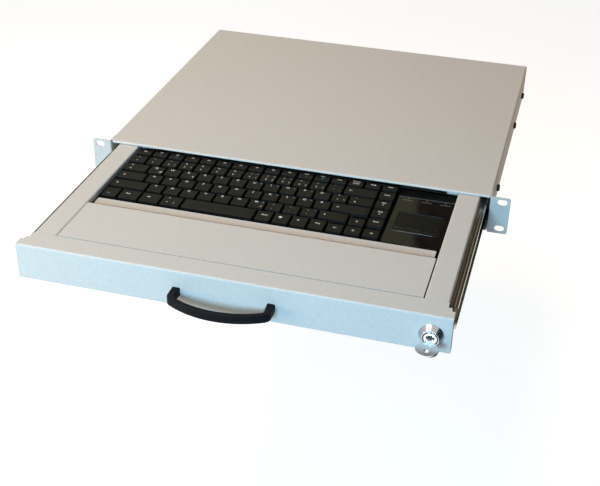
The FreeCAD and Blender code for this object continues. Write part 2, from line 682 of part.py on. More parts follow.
def handle():
    """Bow handle: two straight legs and a gently arched grip, every edge rounded."""
    def bow_depth(reach, x):
        return reach - HANDLE_BOW + math.sqrt(HANDLE_BOW * HANDLE_BOW - x * x)

    def arc_over(reach, half):
        depth = bow_depth(reach, half)
        points = [V(half, -depth, 0), V(0, -reach, 0), V(-half, -depth, 0)]
        return Part.Arc(*points).toShape()

    outer = arc_over(HANDLE_REACH, HANDLE_HALF)
    inner = arc_over(HANDLE_GRIP, HANDLE_LEG_IN)
    outer_end = outer.valueAt(outer.LastParameter)
    outer_start = outer.valueAt(outer.FirstParameter)
    inner_end = inner.valueAt(inner.LastParameter)
    inner_start = inner.valueAt(inner.FirstParameter)
    edges = [outer,
             Part.makeLine(outer_end, V(-HANDLE_HALF, 0, 0)),
             Part.makeLine(V(-HANDLE_HALF, 0, 0), V(-HANDLE_FOOT_IN, 0, 0)),
             Part.makeLine(V(-HANDLE_FOOT_IN, 0, 0), inner_end),
             inner,
             Part.makeLine(inner_start, V(HANDLE_FOOT_IN, 0, 0)),
             Part.makeLine(V(HANDLE_FOOT_IN, 0, 0), V(HANDLE_HALF, 0, 0)),
             Part.makeLine(V(HANDLE_HALF, 0, 0), outer_start)]
    wire = Part.Wire(Part.__sortEdges__(edges))
    grip = Part.Face(wire).extrude(V(0, 0, HANDLE_HEIGHT))
    grip.translate(V(0, FRONT_FACE, HANDLE_Z - HANDLE_HEIGHT / 2))

    def upright(x, depth):
        near = []
        for edge in grip.Edges:
            middle = edge.CenterOfMass
            flat = abs(edge.BoundBox.ZLength - HANDLE_HEIGHT) < 0.01 and edge.BoundBox.XLength < 0.01
            if flat and abs(abs(middle.x) - x) < 0.5 and abs(middle.y - FRONT_FACE + depth) < 0.5:
                near.append(edge)
        return near

    outer_depth = bow_depth(HANDLE_REACH, HANDLE_HALF)
    inner_depth = bow_depth(HANDLE_GRIP, HANDLE_LEG_IN)
    grip = grip.makeFillet(HANDLE_CORNER, upright(HANDLE_HALF, outer_depth))
    grip = grip.makeFillet(HANDLE_THROAT, upright(HANDLE_LEG_IN, inner_depth))
    long_edges = [edge for edge in grip.Edges
                  if edge.BoundBox.ZLength < 0.01 and edge.BoundBox.YMin < FRONT_FACE - 0.5]
    grip = grip.makeFillet(HANDLE_EDGE, long_edges)
    grip.translate(V(HANDLE_X, 0, 0))
    deep = V(0, FRONT_FACE - HANDLE_SCREW_DEPTH, 0)
    return grip.cut([rod(M4_CLEAR, foot + deep, foot) for foot in handle_feet()])


def handle_screw(seat):
    """Pan-head screw from behind the panel into a handle foot."""
    head = rod(M4_HEAD, seat, seat + V(0, M4_HEAD_DEPTH, 0))
    return joined([head, rod(M4, seat - V(0, HANDLE_SCREW_DEPTH, 0), seat)])


# Lock

def turned(profile):
    """Piece turned about the lock's axis from (radius, y) points."""
    points = [V(LOCK_X + radius, y, LOCK_Z) for radius, y in profile]
    face = Part.Face(Part.makePolygon(points + points[:1]))
    return face.revolve(V(LOCK_X, 0, LOCK_Z), V(0, 1, 0), 360)


def lock_body():
    """Chrome collar and barrel with the bore for the plug."""
    bore = PLUG + PLUG_PLAY
    return turned([(bore, LOCK_FACE), (COLLAR_FACE - 0.5, LOCK_FACE), (COLLAR_FACE, LOCK_FACE + 0.5),
                   (COLLAR_BASE - 0.6, FRONT_FACE - 0.9), (COLLAR_BASE, FRONT_FACE), (BARREL, FRONT_FACE),
                   (BARREL, BARREL_BACK), (bore, BARREL_BACK)])


def hexagon(flats, y0, y1):
    """Hexagonal bar on the lock's axis."""
    radius = flats / math.sqrt(3)
    turns = [math.radians(60 * i) for i in range(6)]
    points = [V(LOCK_X + radius * math.cos(a), y0, LOCK_Z + radius * math.sin(a)) for a in turns]
    return Part.Face(Part.makePolygon(points + points[:1])).extrude(V(0, y1 - y0, 0))


def lock_nut():
    """Thin nut that clamps the lock to the panel."""
    bore = rod(BARREL + NUT_PLAY, V(LOCK_X, -PAST, LOCK_Z), V(LOCK_X, PAST, LOCK_Z))
    return hexagon(NUT_FLATS, 0, NUT_THICK).cut(bore)


def lock_plug():
    """Turning core with its keyway and the square shank for the cam."""
    core = turned([(0, LOCK_FACE), (PLUG - 0.4, LOCK_FACE), (PLUG, LOCK_FACE + 0.4), (PLUG, PLUG_BACK),
                   (0, PLUG_BACK)])
    half = SHANK / 2
    shank = box(LOCK_X - half, LOCK_X + half, PLUG_BACK, CAM_FRONT + CAM_THICK,
                LOCK_Z - half, LOCK_Z + half)
    width, height = KEY_BLADE / 2 + KEY_PLAY, KEY_THICK / 2 + KEY_PLAY
    keyway = box(LOCK_X - width, LOCK_X + width, LOCK_FACE - 1, KEYWAY_BACK, LOCK_Z - height, LOCK_Z + height)
    back = CAM_FRONT + CAM_THICK
    thread = rod(M3_CLEAR, V(LOCK_X, back - CAM_SCREW_DEPTH, LOCK_Z), V(LOCK_X, back + PAST, LOCK_Z))
    return joined([core, shank]).cut([keyway, thread])


def drawer_key():
    """Flat key, standing in the plug: round bow with a ring hole, neck and notched blade."""
    low = LOCK_Z - KEY_THICK / 2
    up = V(0, 0, KEY_THICK)
    bow = Part.makeCylinder(KEY_BOW, KEY_THICK, V(LOCK_X, KEY_BOW_Y, low))
    bow = bow.makeChamfer(0.5, bow.Edges)
    half = KEY_BLADE / 2
    tip = KEYWAY_BACK - KEY_TIP
    blade = [(LOCK_X - half, KEY_BOW_Y), (LOCK_X + half, KEY_BOW_Y), (LOCK_X + half, tip - 2),
             (LOCK_X + half - 2, tip), (LOCK_X - half + 1, tip)]
    for y, depth in KEY_BITTING:
        blade += [(LOCK_X - half, y + depth + 0.5), (LOCK_X - half + depth, y), (LOCK_X - half, y - depth)]
    shaft = prism(blade, [0] * len(blade), top_view, V(0, 0, low), up)
    key = joined([bow, shaft])
    return key.cut(Part.makeCylinder(KEY_HOLE, 2 * PAST, V(LOCK_X, KEY_HOLE_Y, low - PAST)))


def lock_cam():
    """Lever on the plug's shank, pointing up while unlocked."""
    half = CAM_HALF
    reach = CAM_LENGTH
    corners = [(LOCK_X - half, LOCK_Z - CAM_HUB), (LOCK_X + half, LOCK_Z - CAM_HUB),
               (LOCK_X + half, LOCK_Z + reach), (LOCK_X - half, LOCK_Z + reach)]
    radii = [CAM_CORNER, CAM_CORNER, CAM_NOSE, CAM_NOSE]
    lever = prism(corners, radii, front_view, V(0, CAM_FRONT, 0), V(0, CAM_THICK, 0))
    hub = rod(CAM_HUB, V(LOCK_X, CAM_FRONT, LOCK_Z), V(LOCK_X, CAM_FRONT + CAM_THICK, LOCK_Z))
    square = SHANK / 2 + PLUG_PLAY
    hole = box(LOCK_X - square, LOCK_X + square, CAM_FRONT - 1, CAM_FRONT + CAM_THICK + 1,
               LOCK_Z - square, LOCK_Z + square)
    return joined([lever, hub]).cut(hole)


def cam_screw():
    """Screw that holds the cam on the shank."""
    seat = V(LOCK_X, CAM_FRONT + CAM_THICK, LOCK_Z)
    head = rod(CAM_SCREW_HEAD, seat, seat + V(0, M4_HEAD_DEPTH, 0))
    return joined([head, rod(M3, seat - V(0, CAM_SCREW_DEPTH - M3_CLEAR, 0), seat)])


# Keyboard

def keyboard_base():
    """Lower half of the keyboard's case with the ribs that carry its sheets."""
    outer = block((-CASE_HALF, CASE_HALF), (CASE_FRONT, CASE_BACK), (CASE_BOTTOM, CASE_SPLIT), CASE_CORNER)
    wall = CASE_WALL
    inner = box(-CASE_HALF + wall, CASE_HALF - wall, CASE_FRONT + wall, CASE_BACK - wall,
                CASE_BOTTOM + wall, CASE_SPLIT + 1)
    ribs = [box(-CASE_HALF + wall / 2, SHEET_X[1], y, y + wall, CASE_BOTTOM + wall / 2, RIB_TOP)
            for y in RIB_Y]
    return joined([outer.cut(inner)] + ribs)


def key_places():
    """Every key with its cell in the plane of the keyboard, the height of its top and its front draft."""
    keys = []
    front = KEYS_FRONT
    for index, (row, depth) in enumerate(zip(KEY_ROWS, ROW_DEPTHS)):
        left = KEYS_LEFT
        top = KEY_TOP + index * ROW_STEP
        draft = KEY_DRAFT_FRONT if index else BOTTOM_ROW_DRAFT
        for node, units, count in row:
            near, far = ARROW_KEYS.get(node, (front, front + depth))
            for _ in range(count):
                keys.append(Key(node, left, left + units * KEY_PITCH, near, far, top, draft))
                left += units * KEY_PITCH
        front += depth
    return keys


def stem_at(key, grow, low, high):
    """Square post under the middle of a key."""
    x, y = (key.left + key.right) / 2, (key.front + key.back) / 2
    half = STEM / 2 + grow
    return box(x - half, x + half, y - half, y + half, low, high)


def frustum(key, inset, high, radius):
    """Keycap body inside its cell: a rounded rectangle that narrows from the skirt upward."""
    def ring(z):
        rise = (z - KEY_SKIRT) / (key.top - KEY_SKIRT)
        side = inset + rise * KEY_DRAFT_SIDE
        near = key.front + inset + rise * key.draft
        far = key.back - inset - rise * KEY_DRAFT_BACK
        left, right = key.left + side, key.right - side
        corners = [(left, near), (right, near), (right, far), (left, far)]
        wire = outline(corners, [radius] * 4, top_view)
        wire.translate(V(0, 0, z))
        return wire

    return Part.makeLoft([ring(KEY_SKIRT), ring(high)], True, True)


def keycap(key):
    """Hollow keycap with sloped sides, a dished top and its guide stem."""
    cap = frustum(key, KEY_GAP / 2, key.top, KEY_CORNER)
    if key.right - key.left < WIDEST_DISHED * KEY_PITCH:
        dish_start = V((key.left + key.right) / 2, key.front - PAST, key.top + KEY_DISH - KEY_DISH_DEPTH)
        cap = cap.cut(rod(KEY_DISH, dish_start, dish_start + V(0, BOTTOM_ROW_DEPTH + 2 * PAST, 0)))
    hollow = frustum(key, KEY_GAP / 2 + KEY_WALL, key.top - KEY_ROOF, 0)
    stem = stem_at(key, 0, STEM_BOTTOM, key.top - KEY_ROOF / 2)
    return joined([cap.cut(hollow), stem])


def keyboard_top_case():
    """Upper half of the case: rim, key deck with its stem guides, and the seat of the touchpad panel."""
    shell = block((-CASE_HALF, CASE_HALF), (CASE_FRONT, CASE_BACK), (CASE_SPLIT, CASE_TOP), CASE_CORNER)
    margin = FIELD_MARGIN
    well = box(KEYS_LEFT - margin, FIELD_RIGHT + margin, KEYS_FRONT - margin, FIELD_BACK + margin,
               DECK_TOP, CASE_TOP + 1)
    seat = box(PAD_LEFT - PAD_SEAT_PLAY, PAD_RIGHT + PAD_SEAT_PLAY, KEYS_FRONT - margin, FIELD_BACK + margin,
               DECK_TOP, CASE_TOP + 1)
    hollow = box(-CASE_HALF + CASE_WALL, CASE_HALF - CASE_WALL,
                 CASE_FRONT + CASE_ROOF_MARGIN, CASE_BACK - CASE_ROOF_MARGIN,
                 CASE_SPLIT - 1, DECK_TOP - CASE_WALL)
    guides = [stem_at(key, STEM_PLAY, CASE_SPLIT, CASE_TOP) for key in key_places()]
    return shell.cut([well, seat, hollow] + guides)


def contact_sheet():
    """Printed contact sheet on the ribs of the base."""
    return box(*SHEET_X, *SHEET_Y, RIB_TOP, RIB_TOP + CONTACT_THICK)


def dome_sheet():
    """Rubber sheet over the contacts, drawn flat."""
    low = RIB_TOP + CONTACT_THICK
    return box(*SHEET_X, *SHEET_Y, low, low + DOME_THICK)


def controller_board():
    """Circuit board under the touchpad, on four posts."""
    board = box(*BOARD_X, *BOARD_Y, *BOARD_Z)
    posts = [rod(POST, V(x, y, CASE_BOTTOM + CASE_WALL), V(x, y, BOARD_Z[0]))
             for x in (BOARD_X[0] + BOARD_INSET, BOARD_X[1] - BOARD_INSET)
             for y in (BOARD_Y[0] + BOARD_INSET, BOARD_Y[1] - BOARD_INSET)]
    x, y = sum(BOARD_X) / 2, sum(BOARD_Y) / 2
    chip = box(x - CHIP / 2, x + CHIP / 2, y - CHIP / 2, y + CHIP / 2, BOARD_Z[1], CHIP_TOP)
    return joined([board, chip] + posts)


def touchpad_panel():
    """Glossy surround with the pocket of the touchpad, its buttons and its lights."""
    margin = FIELD_MARGIN - 0.3
    panel = block((PAD_LEFT, PAD_RIGHT), (KEYS_FRONT - margin, FIELD_BACK + margin),
                  (DECK_TOP, PAD_TOP), PAD_CORNER)
    rim = block((TOUCH_X[0] - TOUCH_RIM, TOUCH_X[1] + TOUCH_RIM),
                (TOUCH_Y[0] - TOUCH_RIM, TOUCH_Y[1] + TOUCH_RIM),
                (PAD_TOP - TOUCH_DEPTH, PAD_TOP + RIM_RISE), PAD_CORNER + TOUCH_RIM)
    pocket = block(TOUCH_X, TOUCH_Y, (PAD_TOP - TOUCH_DEPTH, PAD_TOP + PAST), PAD_CORNER)
    play = TOUCH_PLAY
    buttons = box(TOUCH_X[0] - play, TOUCH_X[1] + play, PAD_BUTTON_Y[0] - play, PAD_BUTTON_Y[1] + play,
                  PAD_TOP - BUTTON_POCKET, PAD_TOP + PAST)
    lights = [light_guide(x, LIGHT_RADIUS + LIGHT_PLAY, PAST) for x in LIGHT_X]
    return joined([panel, rim]).cut([pocket, buttons] + lights)


def touchpad():
    """Touch-sensitive plate in its pocket."""
    play = TOUCH_GLUE_GAP
    return block((TOUCH_X[0] + play, TOUCH_X[1] - play), (TOUCH_Y[0] + play, TOUCH_Y[1] - play),
                 (PAD_TOP - TOUCH_DEPTH, PAD_TOP - TOUCH_SUNK), PAD_CORNER - play)


def pad_button(side):
    """One of the two raised bars in front of the touchpad: side 0 is the left one."""
    middle = sum(TOUCH_X) / 2
    play = TOUCH_PLAY
    x_range = ((TOUCH_X[0], middle - play / 2), (middle + play / 2, TOUCH_X[1]))[side]
    low = PAD_TOP - BUTTON_POCKET + PAD_BUTTON_TRAVEL + play
    return block(x_range, PAD_BUTTON_Y, (low, PAD_TOP + BUTTON_RISE), BUTTON_CORNER)


def light_guide(x, radius, rise):
    """Round light guide in the panel, standing above its face by the rise."""
    return rod(radius, V(x, LIGHT_Y, PAD_TOP - BUTTON_POCKET), V(x, LIGHT_Y, PAD_TOP + rise))


def status_lights():
    """Three round light guides."""
    return [light_guide(x, LIGHT_RADIUS, LIGHT_RISE) for x in LIGHT_X]


# Assembly

def both(maker):
    """A piece and its mirror image, as left and right."""
    right = maker()
    return mirrored(right), right


def mirrored_all(shapes):
    """Every piece of a group mirrored."""
    return [mirrored(shape) for shape in shapes]


def housing_nodes():
    """Pieces that stay with the rack."""
    screws = [rail_screw(y) for y in RAIL_SCREW_Y]
    left_rail, right_rail = both(outer_rail)
    return {
        "housing_shell": [housing_shell()],
        "bottom_plate": [bottom_plate()],
        "bottom_screws": bottom_screws(),
        "cable_grommet": [cable_grommet()],
        "lock_catch": [lock_catch()],
        "left_outer_rail": [left_rail],
        "right_outer_rail": [right_rail],
        "rail_screws": screws + mirrored_all(screws),
    }


def cage_nodes():
    """Ball retainers and balls, which travel half as far as the drawer."""
    left_cage, right_cage = both(ball_cage)
    return {
        "left_ball_cage": [left_cage],
        "right_ball_cage": [right_cage],
        "left_balls": mirrored_all(balls()),
        "right_balls": balls(),
    }


def drawer_nodes():
    """Pieces that travel with the drawer."""
    left_rail, right_rail = both(inner_rail)
    left_clip, right_clip = both(keyboard_clip)
    rail_screws = [inner_rail_screw(y) for y in INNER_SCREW_Y]
    nodes = {
        "drawer_tray": [drawer_tray()],
        "front_panel": [front_panel()],
        "palm_rest": [palm_rest()],
        "keyboard_ledge": [keyboard_ledge()],
        "front_support": [front_support()],
        "rear_support": [rear_support()],
        "left_inner_rail": [left_rail],
        "right_inner_rail": [right_rail],
        "inner_rail_screws": rail_screws + mirrored_all(rail_screws),
        "handle": [handle()],
        "handle_screws": [handle_screw(foot) for foot in handle_feet()],
        "lock_body": [lock_body()],
        "lock_nut": [lock_nut()],
        "lock_plug": [lock_plug()],
        "drawer_key": [drawer_key()],
        "lock_cam": [lock_cam()],
        "cam_screw": [cam_screw()],
        "left_keyboard_clip": [left_clip],
        "right_keyboard_clip": [right_clip],
        "keyboard_base": [keyboard_base()],
        "keyboard_top_case": [keyboard_top_case()],
        "contact_sheet": [contact_sheet()],
        "dome_sheet": [dome_sheet()],
        "controller_board": [controller_board()],
        "touchpad_panel": [touchpad_panel()],
        "touchpad": [touchpad()],
        "left_pad_button": [pad_button(0)],
        "right_pad_button": [pad_button(1)],
        "status_lights": status_lights(),
    }
    for key in key_places():
        nodes.setdefault(key.node, []).append(keycap(key))
    return nodes


def export(nodes, shift):
    """Write one STEP file per node, moved along Y by shift."""
    for name, solids in nodes.items():
        for solid in solids:
            if not solid.isValid():
                print("not valid:", name)
        whole = solids[0] if len(solids) == 1 else Part.makeCompound(solids)
        placed = whole.copy()
        placed.translate(V(0, shift, 0))
        placed.exportStep("parts/" + name + ".step")


os.makedirs("parts", exist_ok=True)
export(housing_nodes(), 0)
export(cage_nodes(), -DRAWER_OPEN / 2)
export(drawer_nodes(), -DRAWER_OPEN)
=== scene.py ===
"""Looks of the rack keyboard drawer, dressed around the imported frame.

Metres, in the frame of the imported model: X to the right, Y into the rack, Z up.
"""

import logging
import math
from dataclasses import dataclass, field
from enum import Enum
from typing import Any, Callable, ClassVar, Iterable, Mapping

import bpy
import numpy as np
from mathutils import Euler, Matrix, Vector


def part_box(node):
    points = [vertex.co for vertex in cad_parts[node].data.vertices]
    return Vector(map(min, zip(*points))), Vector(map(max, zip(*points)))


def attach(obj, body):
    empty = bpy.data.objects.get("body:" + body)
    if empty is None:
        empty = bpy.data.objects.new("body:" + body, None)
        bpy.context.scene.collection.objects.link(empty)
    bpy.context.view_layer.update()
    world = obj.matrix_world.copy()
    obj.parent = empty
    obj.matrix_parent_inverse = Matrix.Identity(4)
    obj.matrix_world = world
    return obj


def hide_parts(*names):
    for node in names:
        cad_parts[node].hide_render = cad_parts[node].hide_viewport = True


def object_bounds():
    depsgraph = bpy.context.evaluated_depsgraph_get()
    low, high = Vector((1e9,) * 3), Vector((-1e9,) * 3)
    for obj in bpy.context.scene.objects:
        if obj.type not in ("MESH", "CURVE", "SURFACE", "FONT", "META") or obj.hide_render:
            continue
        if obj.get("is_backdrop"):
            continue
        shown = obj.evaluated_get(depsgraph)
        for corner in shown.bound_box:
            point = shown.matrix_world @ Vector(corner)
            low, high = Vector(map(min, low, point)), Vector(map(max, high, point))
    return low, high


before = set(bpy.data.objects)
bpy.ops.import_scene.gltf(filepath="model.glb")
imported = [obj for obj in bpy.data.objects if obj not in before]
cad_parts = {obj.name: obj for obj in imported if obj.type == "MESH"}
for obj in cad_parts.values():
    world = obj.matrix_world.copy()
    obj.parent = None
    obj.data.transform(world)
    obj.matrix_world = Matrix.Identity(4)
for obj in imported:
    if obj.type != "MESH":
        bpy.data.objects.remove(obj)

LOG = logging.getLogger("rack_keyboard_drawer")
MM = 0.001
Color = tuple[float, float, float]
Place = tuple[float, float, float]
Shape = tuple[np.ndarray, np.ndarray]
Material = bpy.types.Material
Socket = bpy.types.NodeSocket
WHITE: Color = (1.0, 1.0, 1.0)
BLACK: Color = (0.0, 0.0, 0.0)

# The Mix node's sockets for colours, by number because their names repeat
MIX_FACTOR = 0
MIX_FIRST = 6
MIX_SECOND = 7
MIX_RESULT = 2


class Graph:
    """Adds nodes to one shader tree and links them."""

    def __init__(self, tree: bpy.types.NodeTree) -> None:
        """Keep the tree that nodes are added to."""
        self.tree = tree

    def feed(self, node: bpy.types.Node, inputs: dict[Any, Any]) -> None:
        """Set or link a node's inputs.

        Args:
            node: the node.
            inputs: a value, or an output socket to link, by the input's name or number.
        """
        for key, value in inputs.items():
            if isinstance(value, Socket):
                self.tree.links.new(value, node.inputs[key])
            else:
                node.inputs[key].default_value = value

    def add(self, kind: str, inputs: dict[Any, Any] | None = None, **settings: Any) -> bpy.types.Node:
        """Add one node.

        Args:
            kind: Blender's name of the node type.
            inputs: values and sockets to feed it.
            settings: attributes of the node itself.

        Returns:
            The new node.
        """
        node = self.tree.nodes.new(kind)
        for key, value in settings.items():
            setattr(node, key, value)
        self.feed(node, inputs or {})
        return node

    def math(self, operation: str, first: Any, second: Any) -> Socket:
        """Put two values or sockets through a Math node and return its output."""
        return self.add("ShaderNodeMath", {0: first, 1: second}, operation=operation).outputs[0]

    def times(self, first: Any, second: Any) -> Socket:
        """Multiply two values or sockets."""
        return self.math("MULTIPLY", first, second)

    def spread(self, value: Socket, low: float, high: float, to_low: float = 0.0,
               to_high: float = 1.0) -> Socket:
        """Map a value from one range to another, clamped.

        Args:
            value: the socket to map.
            low, high: the range that comes in.
            to_low, to_high: the range that goes out.

        Returns:
            The mapped output socket.
        """
        limits = {"Value": value, "From Min": low, "From Max": high, "To Min": to_low, "To Max": to_high}
        return self.add("ShaderNodeMapRange", limits, clamp=True).outputs["Result"]

    def blend(self, factor: Socket, first: Any, second: Any) -> Socket:
        """Mix two colours by a factor and return the colour."""
        colors = {MIX_FACTOR: factor, MIX_FIRST: rgba(first), MIX_SECOND: rgba(second)}
        return self.add("ShaderNodeMix", colors, data_type="RGBA").outputs[MIX_RESULT]

    def looked_at(self) -> Socket:
        """Give 1 for rays from the camera, a mirror or glass, and 0 for all others."""
        rays = self.add("ShaderNodeLightPath").outputs
        mirrored = self.math("MAXIMUM", rays["Is Glossy Ray"], rays["Is Transmission Ray"])
        return self.math("MAXIMUM", rays["Is Camera Ray"], mirrored)


def rgba(color: Any) -> Any:
    """Give a colour its alpha; a socket passes through."""
    return color if isinstance(color, Socket) else (*color, 1.0)


class Surface(Graph):
    """The graph of one material, round its Principled BSDF."""

    def __init__(self, name: str) -> None:
        """Make the material under a name."""
        self.material = bpy.data.materials.new(name)
        self.material.use_nodes = True
        super().__init__(self.material.node_tree)
        self.shader = self.tree.nodes["Principled BSDF"]

    def shade(self, inputs: dict[str, Any]) -> None:
        """Feed values or sockets to the shader."""
        self.feed(self.shader, inputs)

    def bump(self, height: Socket, strength: float, depth: float) -> None:
        """Raise the surface by a height.

        Args:
            height: the height socket, from 0 to 1.
            strength: how strongly the bump tells.
            depth: real depth of the relief in metres.
        """
        relief = {"Height": height, "Strength": strength, "Distance": depth}
        self.shade({"Normal": self.add("ShaderNodeBump", relief).outputs[0]})


class Effect(Enum):
    """Surface effects that more than one finish uses."""

    GRAIN = "Fine grain"
    CLOUD = "Soft clouding"
    DRAWN = "Drawn lines"
    SCUFF = "Light scuffs"


class EffectLibrary:
    """Builds each shared shader group once and hands out its outputs."""

    COARSE_SHARE = 0.45
    SPECK_BAND = (0.35, 0.65)
    SOFT_BAND = (0.3, 0.7)
    HAIR_BAND = (0.68, 0.74)
    CLOUD_ROUGHNESS = 0.6
    DRAWN_STRETCH = (1.0, 0.015, 1.0)
    HAIR_STRETCH = (1.0, 0.05, 1.0)
    HAIR_TURNS = (0.5, -1.1)

    def __init__(self) -> None:
        """Build the four groups."""
        recipes = {Effect.GRAIN: self._grain, Effect.CLOUD: self._cloud, Effect.DRAWN: self._drawn,
                   Effect.SCUFF: self._scuff}
        self.trees = {effect: self._group(effect, recipe) for effect, recipe in recipes.items()}

    def place(self, graph: Graph, effect: Effect, scale: float) -> Mapping[str, Socket]:
        """Place a group in a material.

        Args:
            graph: the material's graph.
            effect: which group.
            scale: pattern repeats per metre.

        Returns:
            The group's outputs by name.
        """
        return graph.add("ShaderNodeGroup", {"Scale": scale}, node_tree=self.trees[effect]).outputs

    def _group(self, effect: Effect,
               recipe: Callable[[Graph, Socket, Socket], dict[str, Socket]]) -> bpy.types.NodeTree:
        """Make a group with a Scale input.

        Args:
            effect: the group's name.
            recipe: adds its nodes, from the object coordinates and the scale, and names its outputs.

        Returns:
            The group's tree.
        """
        tree = bpy.data.node_groups.new(effect.value, "ShaderNodeTree")
        tree.interface.new_socket("Scale", in_out="INPUT", socket_type="NodeSocketFloat")
        graph = Graph(tree)
        place = graph.add("ShaderNodeTexCoord").outputs["Object"]
        outputs = recipe(graph, place, graph.add("NodeGroupInput").outputs["Scale"])
        for name in outputs:
            tree.interface.new_socket(name, in_out="OUTPUT", socket_type="NodeSocketFloat")
        graph.add("NodeGroupOutput", outputs)
        return tree

    def _noise(self, graph: Graph, place: Socket, scale: Socket, detail: float, **more: float) -> Socket:
        """Give a noise of some octaves at a place, with more of the node's inputs by name."""
        inputs = {"Vector": place, "Scale": scale, "Detail": detail, **more}
        return graph.add("ShaderNodeTexNoise", inputs).outputs[0]

    def _grain(self, graph: Graph, place: Socket, scale: Socket) -> dict[str, Socket]:
        """Small bumps and specks, as of powder coat or moulded plastic."""
        coarse = self._noise(graph, place, graph.times(scale, self.COARSE_SHARE), 1.0)
        return {"Height": self._noise(graph, place, scale, 2.0),
                "Speck": graph.spread(coarse, *self.SPECK_BAND)}

    def _cloud(self, graph: Graph, place: Socket, scale: Socket) -> dict[str, Socket]:
        """Soft variation: handling and dust at a small scale, a fine mottle at a large one."""
        noise = self._noise(graph, place, scale, 4.0, Roughness=self.CLOUD_ROUGHNESS)
        return {"Mask": graph.spread(noise, *self.SOFT_BAND)}

    def _drawn(self, graph: Graph, place: Socket, scale: Socket) -> dict[str, Socket]:
        """Fine lines along Y, as rolling and drawing leave on steel."""
        stretch = graph.add("ShaderNodeMapping", {"Vector": place, "Scale": self.DRAWN_STRETCH})
        noise = self._noise(graph, stretch.outputs[0], scale, 3.0)
        return {"Lines": graph.spread(noise, *self.SOFT_BAND)}

    def _scuff(self, graph: Graph, place: Socket, scale: Socket) -> dict[str, Socket]:
        """Sparse hair scratches in two directions.

        Args:
            graph: the group's graph.
            place: the object coordinates.
            scale: the group's scale.

        Returns:
            The mask of the scratches.
        """
        layers = []
        for turn in self.HAIR_TURNS:
            stretch = graph.add("ShaderNodeMapping", {"Vector": place, "Rotation": (turn, turn, turn),
                                                      "Scale": self.HAIR_STRETCH})
            noise = self._noise(graph, stretch.outputs[0], scale, 1.0)
            layers.append(graph.spread(noise, *self.HAIR_BAND))
        return {"Mask": graph.math("MAXIMUM", *layers)}


@dataclass(frozen=True)
class Finish:
    """A surface finish: a colour and how rough it is, before any effect."""

    name: str
    color: Color
    roughness: float
    specular: float = 0.5
    swing: ClassVar[tuple[float, float]] = (0.0, 0.0)

    def build(self, effects: EffectLibrary) -> Material:
        """Make the material with the finish's own effects.

        Args:
            effects: the shared groups.

        Returns:
            The material.
        """
        surface = Surface(self.name)
        surface.material.diffuse_color = rgba(self.color)
        surface.shade({"Base Color": rgba(self.color), "Roughness": self.roughness,
                       "Specular IOR Level": self.specular})
        self.apply(surface, effects)
        return surface.material

    def apply(self, surface: Surface, effects: EffectLibrary) -> None:
        """Add the finish's own effects to a surface, with the shared groups."""
        raise NotImplementedError

    def toned(self, tone: float | Color) -> Color:
        """Give the colour times a factor, or times one for each channel."""
        return tuple((np.array(self.color) * tone).tolist())

    def swung(self, surface: Surface, mask: Socket) -> Socket:
        """Swing the roughness with a mask, by the finish's own amounts."""
        return surface.spread(mask, 0.0, 1.0, *(self.roughness + amount for amount in self.swing))


@dataclass(frozen=True)
class PowderCoat(Finish):
    """Fine-textured powder coat on sheet steel."""

    speck: Color = (0.5, 0.5, 0.48)
    grain: float = 1500.0
    mottle: float = 430.0
    clouds: float = 7.0
    scratches: float = 260.0
    lighter: Color = (1.07, 1.055, 1.05)
    darker: Color = (0.90, 0.935, 0.95)
    dusty: float = 0.94
    speck_share: float = 0.55
    dust_share: float = 0.25
    scratch_gloss: float = 0.08
    relief: float = 0.35
    depth: float = 0.06 * MM
    swing: ClassVar[tuple[float, float]] = (-0.05, 0.06)

    def apply(self, surface: Surface, effects: EffectLibrary) -> None:
        """Mottle and speckle the colour, cloud it slightly and raise the grain.

        Args:
            surface: the material's graph.
            effects: the shared groups.
        """
        grain = effects.place(surface, Effect.GRAIN, self.grain)
        mottle = effects.place(surface, Effect.CLOUD, self.mottle)["Mask"]
        cloud = effects.place(surface, Effect.CLOUD, self.clouds)["Mask"]
        scuff = effects.place(surface, Effect.SCUFF, self.scratches)["Mask"]
        color = surface.blend(mottle, self.toned(self.lighter), self.toned(self.darker))
        color = surface.blend(surface.times(grain["Speck"], self.speck_share), color, self.speck)
        color = surface.blend(surface.times(cloud, self.dust_share), color, self.toned(self.dusty))
        rubbed = surface.times(scuff, self.scratch_gloss)
        rough = surface.math("SUBTRACT", self.swung(surface, cloud), rubbed)
        surface.shade({"Base Color": color, "Roughness": rough})
        surface.bump(grain["Height"], self.relief, self.depth)


@dataclass(frozen=True)
class SheetSteel(Finish):
    """Bright zinc-plated steel with the lines of the rolled sheet."""

    tint: Color = (0.45, 0.43, 0.34)
    lines: float = 900.0
    clouds: float = 30.0
    tarnish: float = 0.75
    tarnish_share: float = 0.5
    relief: float = 0.15
    depth: float = 0.02 * MM
    swing: ClassVar[tuple[float, float]] = (-0.08, 0.1)

    def apply(self, surface: Surface, effects: EffectLibrary) -> None:
        """Streak the colour and the roughness along the sheet.

        Args:
            surface: the material's graph.
            effects: the shared groups.
        """
        lines = effects.place(surface, Effect.DRAWN, self.lines)["Lines"]
        cloud = effects.place(surface, Effect.CLOUD, self.clouds)["Mask"]
        color = surface.blend(lines, self.color, self.tint)
        color = surface.blend(surface.times(cloud, self.tarnish_share), color, self.toned(self.tarnish))
        surface.shade({"Metallic": 1.0, "Base Color": color, "Roughness": self.swung(surface, lines)})
        surface.bump(lines, self.relief, self.depth)


